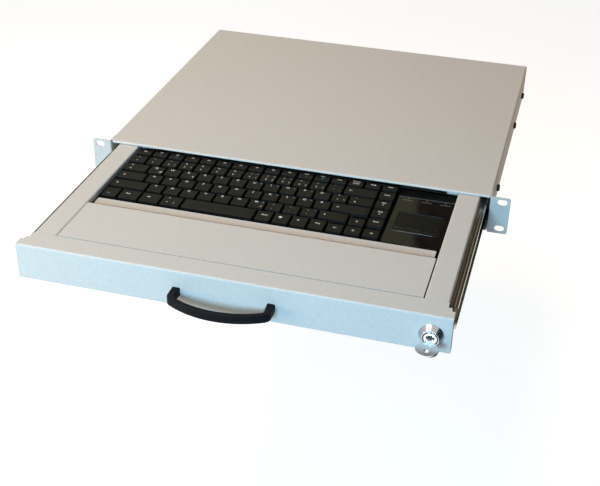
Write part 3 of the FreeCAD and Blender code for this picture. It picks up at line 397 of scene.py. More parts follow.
@dataclass(frozen=True)
class Moulded(Finish):
    """Moulded plastic or rubber with an eroded grain."""

    grain: float = 3500.0
    relief: float = 0.25
    worn: Color = (0.03, 0.03, 0.03)
    clouds: float = 45.0
    worn_share: float = 0.6
    depth: float = 0.04 * MM
    swing: ClassVar[tuple[float, float]] = (0.05, -0.07)

    def apply(self, surface: Surface, effects: EffectLibrary) -> None:
        """Raise the grain and let handling polish the surface in places.

        Args:
            surface: the material's graph.
            effects: the shared groups.
        """
        grain = effects.place(surface, Effect.GRAIN, self.grain)
        cloud = effects.place(surface, Effect.CLOUD, self.clouds)["Mask"]
        wear = surface.times(surface.times(grain["Speck"], cloud), self.worn_share)
        color = surface.blend(wear, self.color, self.worn)
        surface.shade({"Base Color": color, "Roughness": self.swung(surface, cloud)})
        surface.bump(grain["Height"], self.relief, self.depth)


@dataclass(frozen=True)
class Glossy(Finish):
    """High-gloss black plastic with faint smears and hair scratches."""

    smear: float = 0.1
    smear_start: float = 0.2
    clouds: float = 60.0
    scratches: float = 700.0
    scratch_dull: float = 0.12
    haze: float = 1.8
    haze_base: float = 0.002

    def apply(self, surface: Surface, effects: EffectLibrary) -> None:
        """Vary the roughness with smears and scratches.

        Args:
            surface: the material's graph.
            effects: the shared groups.
        """
        cloud = effects.place(surface, Effect.CLOUD, self.clouds)["Mask"]
        scuff = effects.place(surface, Effect.SCUFF, self.scratches)["Mask"]
        rough = surface.spread(cloud, self.smear_start, 1.0, self.roughness, self.roughness + self.smear)
        rough = surface.math("ADD", rough, surface.times(scuff, self.scratch_dull))
        hazy = tuple(value + self.haze_base for value in self.toned(self.haze))
        surface.shade({"Base Color": surface.blend(cloud, self.color, hazy), "Roughness": rough})


@dataclass(frozen=True)
class Polished(Finish):
    """Polished plating with fine turning and handling marks."""

    mark: Color = (0.5, 0.49, 0.47)
    wear: float = 0.2
    clouds: float = 220.0
    scratches: float = 1500.0
    mark_share: float = 0.4
    swing: ClassVar[tuple[float, float]] = (0.0, 0.06)

    def apply(self, surface: Surface, effects: EffectLibrary) -> None:
        """Dull the plating a little where it is handled.

        Args:
            surface: the material's graph.
            effects: the shared groups.
        """
        cloud = effects.place(surface, Effect.CLOUD, self.clouds)["Mask"]
        scuff = effects.place(surface, Effect.SCUFF, self.scratches)["Mask"]
        rough = surface.math("ADD", self.swung(surface, cloud), surface.times(scuff, self.wear))
        color = surface.blend(surface.times(cloud, self.mark_share), self.color, self.mark)
        surface.shade({"Metallic": 1.0, "Base Color": color, "Roughness": rough})


@dataclass(frozen=True)
class Printed(Finish):
    """Printed ink, slightly worn."""

    grain: float = 5000.0
    thin: float = 0.8

    def apply(self, surface: Surface, effects: EffectLibrary) -> None:
        """Thin the ink in fine specks."""
        speck = effects.place(surface, Effect.GRAIN, self.grain)["Speck"]
        surface.shade({"Base Color": surface.blend(speck, self.color, self.toned(self.thin))})


@dataclass(frozen=True)
class CircuitBoard(Finish):
    """Solder mask with lighter tracks under it."""

    track: Color = (0.05, 0.25, 0.1)
    cells: float = 220.0
    border: tuple[float, float] = (0.42, 0.5)
    relief: float = 0.3
    depth: float = 0.03 * MM

    def apply(self, surface: Surface, effects: EffectLibrary) -> None:
        """Draw the tracks as cell borders under the mask.

        Args:
            surface: the material's graph.
            effects: the shared groups, which this finish needs none of.
        """
        place = surface.add("ShaderNodeTexCoord").outputs["Object"]
        cells = surface.add("ShaderNodeTexVoronoi", {"Vector": place, "Scale": self.cells},
                            distance="MANHATTAN", feature="F1")
        track = surface.spread(cells.outputs["Distance"], *self.border)
        surface.shade({"Base Color": surface.blend(track, self.color, self.track)})
        surface.bump(track, self.relief, self.depth)


class Palette:
    """Every finish of the drawer, made once."""

    FINISHES: tuple[Finish, ...] = (
        PowderCoat("housing_powder_coat", (0.62, 0.605, 0.575), 0.52, 0.35, (0.54, 0.525, 0.50)),
        PowderCoat("drawer_powder_coat", (0.62, 0.605, 0.575), 0.5, 0.35, (0.54, 0.525, 0.50)),
        SheetSteel("zinc_plated_sheet", (0.56, 0.55, 0.50), 0.36),
        SheetSteel("drawn_slide_steel", (0.60, 0.59, 0.54), 0.17, tint=(0.50, 0.48, 0.40)),
        SheetSteel("zinc_plated_screw", (0.6, 0.6, 0.58), 0.3, lines=2500.0),
        Moulded("black_oxide", (0.009, 0.009, 0.010), 0.42, 0.3, grain=6000.0),
        Polished("bearing_steel", (0.62, 0.62, 0.61), 0.08),
        Moulded("handle_plastic", (0.007, 0.007, 0.0085), 0.5, 0.05, grain=2600.0, relief=0.35,
                worn=(0.012, 0.012, 0.014)),
        Polished("collar_chrome", (0.47, 0.47, 0.485), 0.17, mark=(0.39, 0.38, 0.375)),
        Polished("bright_nickel", (0.86, 0.86, 0.86), 0.07),
        Polished("key_nickel", (0.76, 0.76, 0.77), 0.2, mark=(0.68, 0.68, 0.69), wear=0.04),
        Moulded("keycap_plastic", (0.0056, 0.0056, 0.0048), 0.46, 0.15, worn=(0.0080, 0.0080, 0.0070)),
        # A darker, less glossy copy of the keycap finish for the steep sides: painted shade on the key
        # fronts.
        Moulded("keycap_side_painted_shade", (0.0050, 0.0050, 0.0043), 0.46, 0.03,
                worn=(0.0056, 0.0056, 0.0048)),
        Moulded("case_plastic", (0.004, 0.004, 0.004), 0.5, 0.06, worn=(0.008, 0.008, 0.008)),
        Glossy("gloss_black_panel", (0.003, 0.003, 0.0028), 0.04, 0.4, smear=0.05),
        Moulded("touch_surface", (0.005, 0.005, 0.0045), 0.3, 0.15, grain=6000.0, relief=0.1,
                worn=(0.009, 0.009, 0.008)),
        Moulded("pad_button_plastic", (0.005, 0.005, 0.0045), 0.25, 0.3, grain=6000.0, relief=0.06,
                worn=(0.009, 0.009, 0.008)),
        Glossy("light_guide", (0.05, 0.06, 0.05), 0.15, 0.5),
        Printed("panel_print", (0.16, 0.16, 0.15), 0.5, 0.2),
        Printed("key_legend_white", (0.72, 0.73, 0.70), 0.5),
        Printed("key_legend_blue", (0.05, 0.30, 0.42), 0.5),
        Moulded("contact_film", (0.6, 0.62, 0.6), 0.4, 0.5, worn=(0.45, 0.47, 0.45)),
        Moulded("dome_silicone", (0.5, 0.52, 0.5), 0.6, 0.4, worn=(0.4, 0.42, 0.4)),
        Moulded("grommet_rubber", (0.01, 0.01, 0.01), 0.7, 0.3, grain=1800.0),
        CircuitBoard("circuit_board", (0.015, 0.1, 0.035), 0.35),
    )

    def __init__(self, effects: EffectLibrary) -> None:
        """Build every material."""
        self.materials = {finish.name: finish.build(effects) for finish in self.FINISHES}

    def __getitem__(self, name: str) -> Material:
        """Give a material by its finish's name."""
        return self.materials[name]


def dress(nodes: Iterable[str], material: Material) -> None:
    """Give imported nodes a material.

    Args:
        nodes: node names.
        material: the material for all of them.
    """
    for name in nodes:
        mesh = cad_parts[name].data
        mesh.materials.clear()
        mesh.materials.append(material)
        LOG.info("dressed %s in %s", name, material.name)


def make_piece(name: str, points: np.ndarray, faces: np.ndarray, material: Material, body: str,
               sharp_deg: float = 40.0) -> bpy.types.Object:
    """Make a mesh piece that rides on a body.

    Args:
        name: name of the piece.
        points: vertices as an (n, 3) array in metres.
        faces: vertex numbers as an (m, 3) or (m, 4) array; a triangle among quads repeats a corner.
        material: its material.
        body: the body that it rides on.
        sharp_deg: edges that turn by more than this stay sharp.

    Returns:
        The new object.
    """
    mesh = bpy.data.meshes.new(name)
    mesh.from_pydata(points.tolist(), [], [list(dict.fromkeys(face)) for face in faces.tolist()])
    mesh.polygons.foreach_set("use_smooth", np.ones(len(faces), dtype=bool))
    mesh.set_sharp_from_angle(angle=math.radians(sharp_deg))
    mesh.materials.append(material)
    mesh.update()
    piece = bpy.data.objects.new(name, mesh)
    bpy.context.scene.collection.objects.link(piece)
    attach(piece, body)
    LOG.info("built %s: %d faces", name, len(faces))
    return piece


@dataclass(frozen=True)
class Cell:
    """The room of one key: its rectangle, the height of its top and how far its front leans back."""

    left: float
    right: float
    front: float
    back: float
    top: float
    lean: float

    @property
    def middle(self) -> float:
        """Give the middle of the cell from left to right."""
        return (self.left + self.right) / 2


@dataclass(frozen=True)
class Key:
    """One key: its node, its width in key pitches and what is printed on it."""

    node: str
    units: float
    main: str = ""
    upper: str = ""
    third: str = ""
    second: str = ""

    @property
    def single(self) -> bool:
        """Tell whether the key is one pitch wide."""
        return self.units <= 1.0


def row(node: str, legends: str, units: float = 1.0) -> tuple[Key, ...]:
    """Make a run of like keys.

    Args:
        node: the node that holds them.
        legends: one entry for each key, parted by blanks; the parts of an entry are main, upper, third and
            second function, parted by a broken bar.
        units: width of each key.

    Returns:
        The keys from left to right.
    """
    return tuple(Key(node, units, *entry.split("¦")) for entry in legends.split())


KEY_ROWS: tuple[tuple[Key, ...], ...] = (
    (*row("left_modifier_keys", "¦¦¦Fn"), *row("left_modifier_keys", "Strg Alt <¦>¦|", 1.25),
     Key("space_bar", 4.25), *row("right_modifier_keys", "AltGr ◆ ≡ Strg"),
     Key("left_arrow_key", 1.0, "←"), Key("down_arrow_key", 1.0, "↓"), Key("right_arrow_key", 1.0, "→")),
    (Key("left_shift_key", 2.25, "↑"), *row("lower_keys", "Y X C V B N M¦¦µ¦0 ,¦; .¦:¦¦, -¦_¦¦/"),
     Key("right_shift_key", 1.75, "↑"), Key("up_arrow_key", 1.0, "↑"),
     Key("navigation_keys", 1.0, "Ende")),
    (Key("caps_lock_key", 1.75, "↓"), *row("home_keys", "A S D F G H J¦¦¦1 K¦¦¦2 L¦¦¦3 Ö¦¦¦+ Ä"),
     Key("enter_key", 2.25, "←"), Key("navigation_keys", 1.0, "Bild", "", "↓")),
    (Key("tab_key", 1.5, "→", "←"),
     *row("upper_keys", "Q¦¦@ W E¦¦€ R T Z U¦¦¦4 I¦¦¦5 O¦¦¦6 P¦¦¦* Ü +¦*¦~"),
     Key("upper_keys", 1.5, "#", "'"), Key("navigation_keys", 1.0, "Bild", "", "↑")),
    (*row("number_keys", "^¦° 1¦! 2¦\"¦² 3¦§¦³ 4¦$ 5¦% 6¦&"),
     *row("number_keys", "7¦/¦{¦7 8¦(¦[¦8 9¦)¦]¦9 0¦=¦} ß¦?¦\\ ´¦`"),
     Key("backspace_key", 2.0, "←"), Key("navigation_keys", 1.0, "Pos1")),
    (*row("function_keys", "Esc F1¦¦¦☾ F2¦¦¦☼ F3 F4 F5 F6 F7 F8"),
     *row("function_keys", "F9 F10¦¦¦♪ F11¦¦¦♫ F12 Druck¦¦S-Abf Einfg Entf")),
)


class Ink(Enum):
    """Inks of the key legends, named as in their finishes and pieces."""

    WHITE = "white"
    BLUE = "blue"


@dataclass(frozen=True)
class Sign:
    """One printed sign: its ink, text, height and middle."""

    ink: Ink
    text: str
    height: float
    x: float
    y: float


@dataclass(frozen=True)
class LegendStyle:
    """Where signs stand on a key, from the left of its cell and from the back as a share of its depth."""

    letter: float = 4.6 * MM
    small_letter: float = 3.5 * MM
    word: float = 3.2 * MM
    left: float = 7.6 * MM
    right: float = 15.0 * MM
    word_left: float = 9.0 * MM
    high: float = 0.23
    low: float = 0.64
    middle: float = 0.48
    word_back: float = 0.41
    two_line_back: float = 0.30
    line: float = 4.7 * MM
    word_signs: str = "◆≡"

    def place(self, key: Key, cell: Cell) -> list[Sign]:
        """Lay out all signs of one key.

        Args:
            key: the key.
            cell: its room.

        Returns:
            The signs with their places.
        """
        if len(key.main) > 1:
            return self.place_word(key, cell)
        deep = cell.back - cell.front
        left, right = cell.left + self.left, cell.left + self.right
        high, low = cell.back - self.high * deep, cell.back - self.low * deep
        signs = []
        if key.upper:
            signs.append(Sign(Ink.WHITE, key.main, self.small_letter, left, low))
            signs.append(Sign(Ink.WHITE, key.upper, self.small_letter, left, high))
        elif key.main:
            arrow = key.node.endswith("arrow_key")
            share = self.word_back if key.main in self.word_signs else self.high
            if arrow or not key.single:
                share = self.middle
            x = cell.middle if arrow else left
            signs.append(Sign(Ink.WHITE, key.main, self.letter, x, cell.back - share * deep))
        if key.third:
            signs.append(Sign(Ink.WHITE, key.third, self.small_letter, right, low))
        if key.second:
            x, y = (right, high) if key.main else (left, low)
            signs.append(Sign(Ink.BLUE, key.second, self.small_letter, x, y))
        return signs

    def place_word(self, key: Key, cell: Cell) -> list[Sign]:
        """Lay out a key that bears a word, with its second line or second function below.

        Args:
            key: the key.
            cell: its room.

        Returns:
            The word and what stands below it.
        """
        x = cell.middle if key.single else cell.left + self.word_left
        share = self.two_line_back if key.third or key.second else self.word_back
        y = cell.back - share * (cell.back - cell.front)
        signs = [Sign(Ink.WHITE, key.main, self.word, x, y)]
        if key.third:
            signs.append(Sign(Ink.WHITE, key.third, self.word, x, y - self.line))
        if key.second:
            signs.append(Sign(Ink.BLUE, key.second, self.small_letter, x, y - self.line))
        return signs


@dataclass
class KeyField:
    """All keycaps with their printed legends."""

    gap: float = 0.9 * MM
    draft_side: float = 1.0 * MM
    lean: float = 2.0 * MM
    bottom_row_lean: float = 0.85 * MM
    draft_back: float = 1.2 * MM
    corner: float = 1.3 * MM
    least_corner: float = 0.4 * MM
    crown: float = 0.45 * MM
    dish: float = 0.3 * MM
    wall: float = 1.1 * MM
    roof: float = 1.4 * MM
    skirt_level: float = 10.6 * MM
    widest_dished: float = 30.0 * MM
    ink_lift: float = 0.05 * MM
    sharp_deg: float = 50.0
    side_level: float = 0.76
    corner_steps: int = 4
    edge_steps: int = 5
    crown_steps: int = 5
    top_rings: tuple[float, ...] = (0.66, 0.33)
    style: LegendStyle = field(default_factory=LegendStyle)
    cells: list[tuple[Key, Cell]] = field(default_factory=list)

    def lay_out(self) -> None:
        """Work out each key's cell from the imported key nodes."""
        low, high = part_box("function_keys")
        pitch = (high[0] - low[0] + self.gap) / len(KEY_ROWS[-1])
        for number, keys in enumerate(KEY_ROWS):
            left = low[0] - self.gap / 2
            for key in keys:
                owner = keys[0].node if key.node == "navigation_keys" else key.node
                near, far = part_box(owner)
                right = left + key.units * pitch
                lean = self.lean if number else self.bottom_row_lean
                cell = Cell(left, right, near[1] - self.gap / 2, far[1] + self.gap / 2, far[2], lean)
                self.cells.append((key, cell))
                left = right

    def perimeter(self) -> tuple[np.ndarray, ...]:
        """Run once round a rounded rectangle.

        A point lies at centre + sign * (half - radius) + radius * direction, on each axis. Corners turn
        their direction through a quarter circle, and the front and back edges have points between.

        Returns:
            Signs along X and Y and directions along X and Y, one value for each point.
        """
        turn = np.linspace(0.0, math.pi / 2, self.corner_steps + 1)
        between = np.linspace(-1.0, 1.0, self.edge_steps + 2)[1:-1]
        none, full = np.zeros_like(between), np.ones_like(between)
        corner = np.ones_like(turn)
        sign_x = [corner, -between, -corner, -corner, between, corner]
        sign_y = [corner, full, corner, -corner, -full, -corner]
        way_x = [np.cos(turn), none, -np.sin(turn), -np.cos(turn), none, np.sin(turn)]
        way_y = [np.sin(turn), full, np.cos(turn), -np.sin(turn), -full, -np.cos(turn)]
        return tuple(np.concatenate(part) for part in (sign_x, sign_y, way_x, way_y))

    def profile(self, tall: float) -> tuple[np.ndarray, ...]:
        """Section of a cap from its inner roof down, round the skirt and up over the crown.

        Args:
            tall: height of the cap over its skirt.

        Returns:
            For each ring: its height over the skirt, its inset from the sloped side, and how much of the
            dish it takes.
        """
        bend = np.linspace(0.0, math.pi / 2, self.crown_steps)
        height = np.concatenate([[tall - self.roof, 0.0, 0.0], tall - self.crown * (1 - np.sin(bend))])
        inset = np.concatenate([[self.wall, self.wall, 0.0], self.crown * (1 - np.cos(bend))])
        dish = np.concatenate([[0.0, 0.0, 0.0], np.sin(bend) ** 2])
        return height, inset, dish

    def cap(self, cell: Cell) -> Shape:
        """Surface of one keycap: the section carried round the rounded rectangle, closed at both ends.

        Args:
            cell: the key's room.

        Returns:
            Vertices and triangles or quads, all as quads with a repeated corner at the two middles.
        """
        sign_x, sign_y, way_x, way_y = self.perimeter()
        tall = cell.top - self.skirt_level
        height, inset, dish = self.profile(tall)
        rise = (height / tall)[:, None]
        side = self.gap / 2 + rise * self.draft_side + inset[:, None]
        front = cell.front + self.gap / 2 + rise * cell.lean + inset[:, None]
        back = cell.back - self.gap / 2 - rise * self.draft_back - inset[:, None]
        half_x = (cell.right - cell.left) / 2 - side
        half_y = (back - front) / 2
        radius = np.maximum(self.corner - inset[:, None], self.least_corner)
        x = sign_x * (half_x - radius) + way_x * radius
        y = (front + back) / 2 + sign_y * (half_y - radius) + way_y * radius
        z = np.repeat(self.skirt_level + height[:, None], len(sign_x), axis=1)
        z = z - dish[:, None] * self.sag(x, cell)
        rings = np.stack([x, y, z], axis=-1)
        centre_y = float((front + back)[-1, 0]) / 2
        inner = []
        for share in self.top_rings:
            ring = rings[-1].copy()
            ring[:, 0] *= share
            ring[:, 1] = centre_y + (ring[:, 1] - centre_y) * share
            ring[:, 2] = cell.top - self.sag(ring[:, 0], cell)
            inner.append(ring)
        rings = np.concatenate([rings, np.stack(inner)])
        rings[..., 0] += cell.middle
        bottom = np.array([[cell.middle, centre_y, cell.top - self.roof]])
        crown = np.array([[cell.middle, centre_y, cell.top - float(self.sag(np.zeros(1), cell)[0])]])
        points = np.concatenate([rings.reshape(-1, 3), bottom, crown])
        return points, self.ring_faces(*rings.shape[:2])

    def sag(self, x: np.ndarray, cell: Cell) -> np.ndarray:
        """Depth of the dish: a parabola across the cap, deepest in its middle, flat on wide keys.

        Args:
            x: places across the cap, from its middle.
            cell: the key's room.

        Returns:
            The depth at each place.
        """
        wide = cell.right - cell.left
        half = wide / 2 - self.gap / 2 - self.draft_side
        depth = self.dish if wide < self.widest_dished else 0.0
        return depth * np.clip(1.0 - (x / half) ** 2, 0.0, 1.0)

    def ring_faces(self, rings: int, count: int) -> np.ndarray:
        """Faces between stacked rings, with a fan at each end.

        Args:
            rings: how many rings there are.
            count: points in a ring.

        Returns:
            Quads, those of the fans with their last corner repeated.
        """
        ring = np.arange(rings - 1)[:, None] * count
        here = np.arange(count)[None, :]
        following = (here + 1) % count
        above = ring + count
        walls = np.stack([ring + here, ring + following, above + following, above + here], axis=-1)
        last = (rings - 1) * count
        bottom = np.full(count, rings * count)
        crown = bottom + 1
        flat = here[0]
        after = following[0]
        low_fan = np.stack([bottom, after, flat, flat], axis=-1)
        high_fan = np.stack([crown, last + flat, last + after, last + after], axis=-1)
        return np.concatenate([walls.reshape(-1, 4), low_fan, high_fan])

    def by_node(self) -> dict[str, list[tuple[Key, Cell]]]:
        """Sort the keys by their nodes.

        Returns:
            The keys with their cells, by node in the order of the field.
        """
        groups: dict[str, list[tuple[Key, Cell]]] = {}
        for key, cell in self.cells:
            groups.setdefault(key.node, []).append((key, cell))
        return groups

    def build_caps(self, palette: Palette) -> None:
        """Build the caps of each key node as one piece that stands for it, the sides in a darker, duller
        copy of the cap finish: painted shade on the key fronts.

        Args:
            palette: the finishes.
        """
        for node, keys in self.by_node().items():
            points, faces = joined_shapes([self.cap(cell) for _, cell in keys])
            piece = make_piece(node + "_caps", points, faces, palette["keycap_plastic"], node,
                               self.sharp_deg)
            piece.data.materials.append(palette["keycap_side_painted_shade"])
            normals = np.empty(3 * len(faces))
            piece.data.polygons.foreach_get("normal", normals)
            # Faces steeper than the side level take the darker copy, painted shade on the key fronts.
            painted_shade_faces = normals.reshape(-1, 3)[:, 2] < self.side_level
            piece.data.polygons.foreach_set("material_index", painted_shade_faces.astype(np.int32))
            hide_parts(node)

    def print_legends(self, palette: Palette) -> None:
        """Print every key, white for the main signs and blue for the second functions.

        Args:
            palette: the finishes.
        """
        glyphs = GlyphMaker()
        for node, keys in self.by_node().items():
            signs = [(sign, cell) for key, cell in keys for sign in self.style.place(key, cell)]
            for ink in Ink:
                shapes = [self.printed(sign, cell, glyphs) for sign, cell in signs if sign.ink is ink]
                if shapes:
                    points, faces = joined_shapes(shapes)
                    make_piece(f"{node}_{ink.value}_legends", points, faces,
                               palette[f"key_legend_{ink.value}"], node)

    def printed(self, sign: Sign, cell: Cell, glyphs: "GlyphMaker") -> Shape:
        """Lay one sign on the dished top of its key.

        Args:
            sign: the sign.
            cell: the key's room.
            glyphs: maker of flat letter shapes.

        Returns:
            Vertices and triangles.
        """
        flat, faces = glyphs.shape(sign.text)
        points = flat * sign.height + (sign.x, sign.y, 0.0)
        points[:, 2] = cell.top - self.sag(points[:, 0] - cell.middle, cell) + self.ink_lift
        return points, faces


def joined_shapes(shapes: list[Shape]) -> Shape:
    """Join shapes into one set of vertices and faces.

    Args:
        shapes: pairs of vertices and faces.

    Returns:
        All vertices and all faces.
    """
    starts = np.cumsum([0] + [len(points) for points, _ in shapes[:-1]])
    points = np.concatenate([points for points, _ in shapes])
    faces = np.concatenate([faces + start for (_, faces), start in zip(shapes, starts)])
    return points, faces


class GlyphMaker:
    """Turns short texts into flat triangles, one unit high, centred on their middle."""

    WEIGHT = 0.022
    CURVE_STEPS = 3

    def __init__(self) -> None:
        """Start with no shapes."""
        self.known: dict[str, Shape] = {}

    def shape(self, text: str) -> Shape:
        """Give a text's triangles.

        Args:
            text: the sign or word.

        Returns:
            Vertices as an (n, 3) array of no height, and triangles.
        """
        if text not in self.known:
            self.known[text] = self._trace(text)
        return self.known[text]

    def _trace(self, text: str) -> Shape:
        """Fill the outline that Blender's own font gives for a text.

        Args:
            text: the sign or word.

        Returns:
            Vertices and triangles.
        """
        curve = bpy.data.curves.new("legend_outline", "FONT")
        curve.body = text
        curve.align_x = "CENTER"
        curve.align_y = "CENTER"
        curve.resolution_u = self.CURVE_STEPS
        curve.offset = self.WEIGHT
        holder = bpy.data.objects.new("legend_outline", curve)
        bpy.context.scene.collection.objects.link(holder)
        bpy.context.view_layer.update()
        shown = holder.evaluated_get(bpy.context.evaluated_depsgraph_get())
        mesh = bpy.data.meshes.new_from_object(shown)
        mesh.calc_loop_triangles()
        points = np.empty(len(mesh.vertices) * 3)
        mesh.vertices.foreach_get("co", points)
        faces = np.empty(len(mesh.loop_triangles) * 3, dtype=np.int32)
        mesh.loop_triangles.foreach_get("vertices", faces)
        bpy.data.objects.remove(holder)
        bpy.data.curves.remove(curve)
        bpy.data.meshes.remove(mesh)
        return points.reshape(-1, 3), faces.reshape(-1, 3)


@dataclass
class Housing:
    """The sleeve that stays in the rack, with its floor and the fixed halves of the slides."""

    painted: tuple[str, ...] = ("housing_shell", "bottom_plate")
    plated: tuple[str, ...] = ("left_outer_rail", "right_outer_rail")

    def dress(self, palette: Palette) -> None:
        """Give the housing's nodes their finishes.

        Args:
            palette: the finishes.
        """
        dress(self.painted, palette["housing_powder_coat"])
        dress(self.plated, palette["drawn_slide_steel"])
        dress(("bottom_screws",), palette["zinc_plated_screw"])
        # The lock catch is dressed in black oxide as painted shade, where its place behind the front lies
        # dark.
        dress(("rail_screws", "lock_catch"), palette["black_oxide"])
        dress(("cable_grommet",), palette["grommet_rubber"])


@dataclass
class Slides:
    """The moving halves of the two ball slides."""

    members: tuple[str, ...] = ("left_inner_rail", "right_inner_rail", "left_ball_cage", "right_ball_cage")
    balls: tuple[str, ...] = ("left_balls", "right_balls")

    def dress(self, palette: Palette) -> None:
        """Give the slides their finishes.

        Args:
            palette: the finishes.
        """
        dress(self.members, palette["drawn_slide_steel"])
        dress(self.balls, palette["bearing_steel"])
        dress(("inner_rail_screws",), palette["zinc_plated_screw"])


@dataclass
class Drawer:
    """The tray with its front, palm rest, brackets and handle."""

    painted: tuple[str, ...] = ("drawer_tray", "front_panel", "palm_rest", "keyboard_ledge",
                                "left_keyboard_clip", "right_keyboard_clip")
    plated: tuple[str, ...] = ("front_support", "rear_support")

    def dress(self, palette: Palette) -> None:
        """Give the drawer's nodes their finishes.

        Args:
            palette: the finishes.
        """
        dress(self.painted, palette["drawer_powder_coat"])
        dress(self.plated, palette["zinc_plated_sheet"])
        dress(("handle",), palette["handle_plastic"])
        dress(("handle_screws",), palette["zinc_plated_screw"])


@dataclass
class Lock:
    """The cam lock with its key, and flat dark sheets of painted shade in the joint and the keyway on its
    face.
    """

    joint: tuple[float, float] = (6.4 * MM, 7.3 * MM)
    face_lift: float = 0.04 * MM
    segments: int = 64
    keyway_mm: tuple[tuple[float, float], ...] = (
        (-4.2, 0.6), (4.2, 0.6), (3.9, 2.5), (2.1, 2.2), (1.2, 4.1), (0.1, 2.9), (-0.9, 4.2), (-1.8, 2.2),
        (-3.8, 2.7))

    def dress(self, palette: Palette) -> None:
        """Give the lock's nodes their finishes.

        Args:
            palette: the finishes.
        """
        dress(("lock_body",), palette["collar_chrome"])
        dress(("lock_plug",), palette["bright_nickel"])
        dress(("drawer_key",), palette["key_nickel"])
        dress(("lock_nut", "lock_cam"), palette["zinc_plated_sheet"])
        dress(("cam_screw",), palette["zinc_plated_screw"])

    def build(self, palette: Palette) -> None:
        """Paint the shade in the joint round the plug, as a flat dark ring, and in the keyway's opening, as
        a flat dark jagged outline.

        Args:
            palette: the finishes.
        """
        low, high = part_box("lock_body")
        middle_x, middle_z = (low[0] + high[0]) / 2, (low[2] + high[2]) / 2
        face = low[1] - self.face_lift
        turn = np.linspace(0.0, 2 * math.pi, self.segments, endpoint=False)
        radius = np.array(self.joint)[:, None]
        ring = np.stack([middle_x + radius * np.cos(turn), np.full((2, self.segments), face),
                         middle_z + radius * np.sin(turn)], axis=-1)
        here = np.arange(self.segments)
        after = (here + 1) % self.segments
        quads = np.stack([here, after, after + self.segments, here + self.segments], axis=-1)
        # A flat dark ring of painted shade where the joint round the plug lies in shadow.
        make_piece("lock_joint_painted_shade", ring.reshape(-1, 3), quads, palette["black_oxide"], "drawer")
        # A flat dark outline of painted shade where the keyway lies in shadow.
        outline = np.array(self.keyway_mm) * MM
        keyway_shade = np.stack([middle_x + outline[:, 0], np.full(len(outline), face),
                          middle_z + outline[:, 1]], axis=-1)
        near = np.arange(1, len(outline) - 1)
        fan = np.stack([np.zeros_like(near), near, near + 1], axis=-1)
        make_piece("lock_keyway_painted_shade", keyway_shade, fan, palette["black_oxide"], "lock_rotor")


@dataclass
class Keyboard:
    """The keyboard's case, touchpad and keys."""

    keys: KeyField = field(default_factory=KeyField)
    lights: int = 3
    light_rise: float = 0.15 * MM
    light_radius: float = 1.1 * MM
    mark_half: tuple[float, float] = (5.6 * MM, 0.45 * MM)
    mark_before_light: float = 4.3 * MM
    ink_lift: float = 0.05 * MM
    edge_round: float = 0.5 * MM
    rim_away: float = 0.95 * MM
    rim_half: float = 0.7 * MM
    rim_tall: float = 0.35 * MM
    rim_corner: float = 1.2 * MM
    rim_steps: int = 9
    rim_corner_steps: int = 5

    def dress(self, palette: Palette) -> None:
        """Give the case and the touchpad their finishes.

        Args:
            palette: the finishes.
        """
        dress(("keyboard_base", "keyboard_top_case"), palette["case_plastic"])
        dress(("contact_sheet",), palette["contact_film"])
        dress(("dome_sheet",), palette["dome_silicone"])
        dress(("controller_board",), palette["circuit_board"])
        dress(("touchpad_panel",), palette["gloss_black_panel"])
        dress(("touchpad",), palette["touch_surface"])
        dress(("left_pad_button", "right_pad_button"), palette["pad_button_plastic"])
        dress(("status_lights",), palette["light_guide"])

    def build(self, palette: Palette) -> None:
        """Build the keycaps and print them, and edge the touchpad.

        Args:
            palette: the finishes.
        """
        self.keys.lay_out()
        self.keys.build_caps(palette)
        self.keys.print_legends(palette)
        self.print_marks(palette)
        self.frame_pad(palette)
        soften(("touchpad_panel", "touchpad", "left_pad_button", "right_pad_button"), self.edge_round)

    def frame_pad(self, palette: Palette) -> None:
        """Raise a low bead round the touchpad and its bars.

        The section is the upper half of an ellipse on a flat base. It is carried round a rounded rectangle,
        whose points lie at centre + sign * (half - corner) + (corner + outward) * direction.

        Args:
            palette: the finishes.
        """
        boxes = np.array([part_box(node) for node in ("touchpad", "left_pad_button", "right_pad_button")])
        low, high = boxes[:, 0].min(axis=0), boxes[:, 1].max(axis=0)
        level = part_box("status_lights")[1][2] - self.light_rise
        quarter = np.linspace(0.0, math.pi / 2, self.rim_corner_steps)
        turn = (np.arange(4)[:, None] * math.pi / 2 + quarter).ravel()
        sign = np.repeat(np.array([(1, 1), (-1, 1), (-1, -1), (1, -1)], dtype=float), len(quarter), axis=0)
        bend = np.linspace(0.0, math.pi, self.rim_steps)
        outward = self.rim_half * np.cos(bend)
        half = (high - low)[:2] / 2 + self.rim_away
        way = np.stack([np.cos(turn), np.sin(turn)], axis=-1)
        spine = (low + high)[:2] / 2 + sign * (half - self.rim_corner)
        points = np.empty((len(turn), self.rim_steps, 3))
        points[..., :2] = spine[:, None] + (self.rim_corner + outward)[None, :, None] * way[:, None]
        points[..., 2] = level + self.rim_tall * np.sin(bend)
        make_piece("touchpad_rim", points.reshape(-1, 3), tube_faces(len(turn), self.rim_steps),
                   palette["gloss_black_panel"], "drawer")

    def print_marks(self, palette: Palette) -> None:
        """Print a short line in front of each status light: a flat rectangle on the touchpad's surround.

        Args:
            palette: the finishes.
        """
        low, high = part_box("status_lights")
        middles = np.linspace(low[0] + self.light_radius, high[0] - self.light_radius, self.lights)
        corners = np.array([(-1, -1), (1, -1), (1, 1), (-1, 1)]) * self.mark_half
        points = np.empty((self.lights, len(corners), 3))
        points[..., 0] = middles[:, None] + corners[:, 0]
        points[..., 1] = (low[1] + high[1]) / 2 - self.mark_before_light + corners[:, 1]
        points[..., 2] = high[2] - self.light_rise + self.ink_lift
        faces = np.arange(self.lights * len(corners)).reshape(self.lights, -1)
        make_piece("status_light_marks", points.reshape(-1, 3), faces, palette["panel_print"], "drawer")


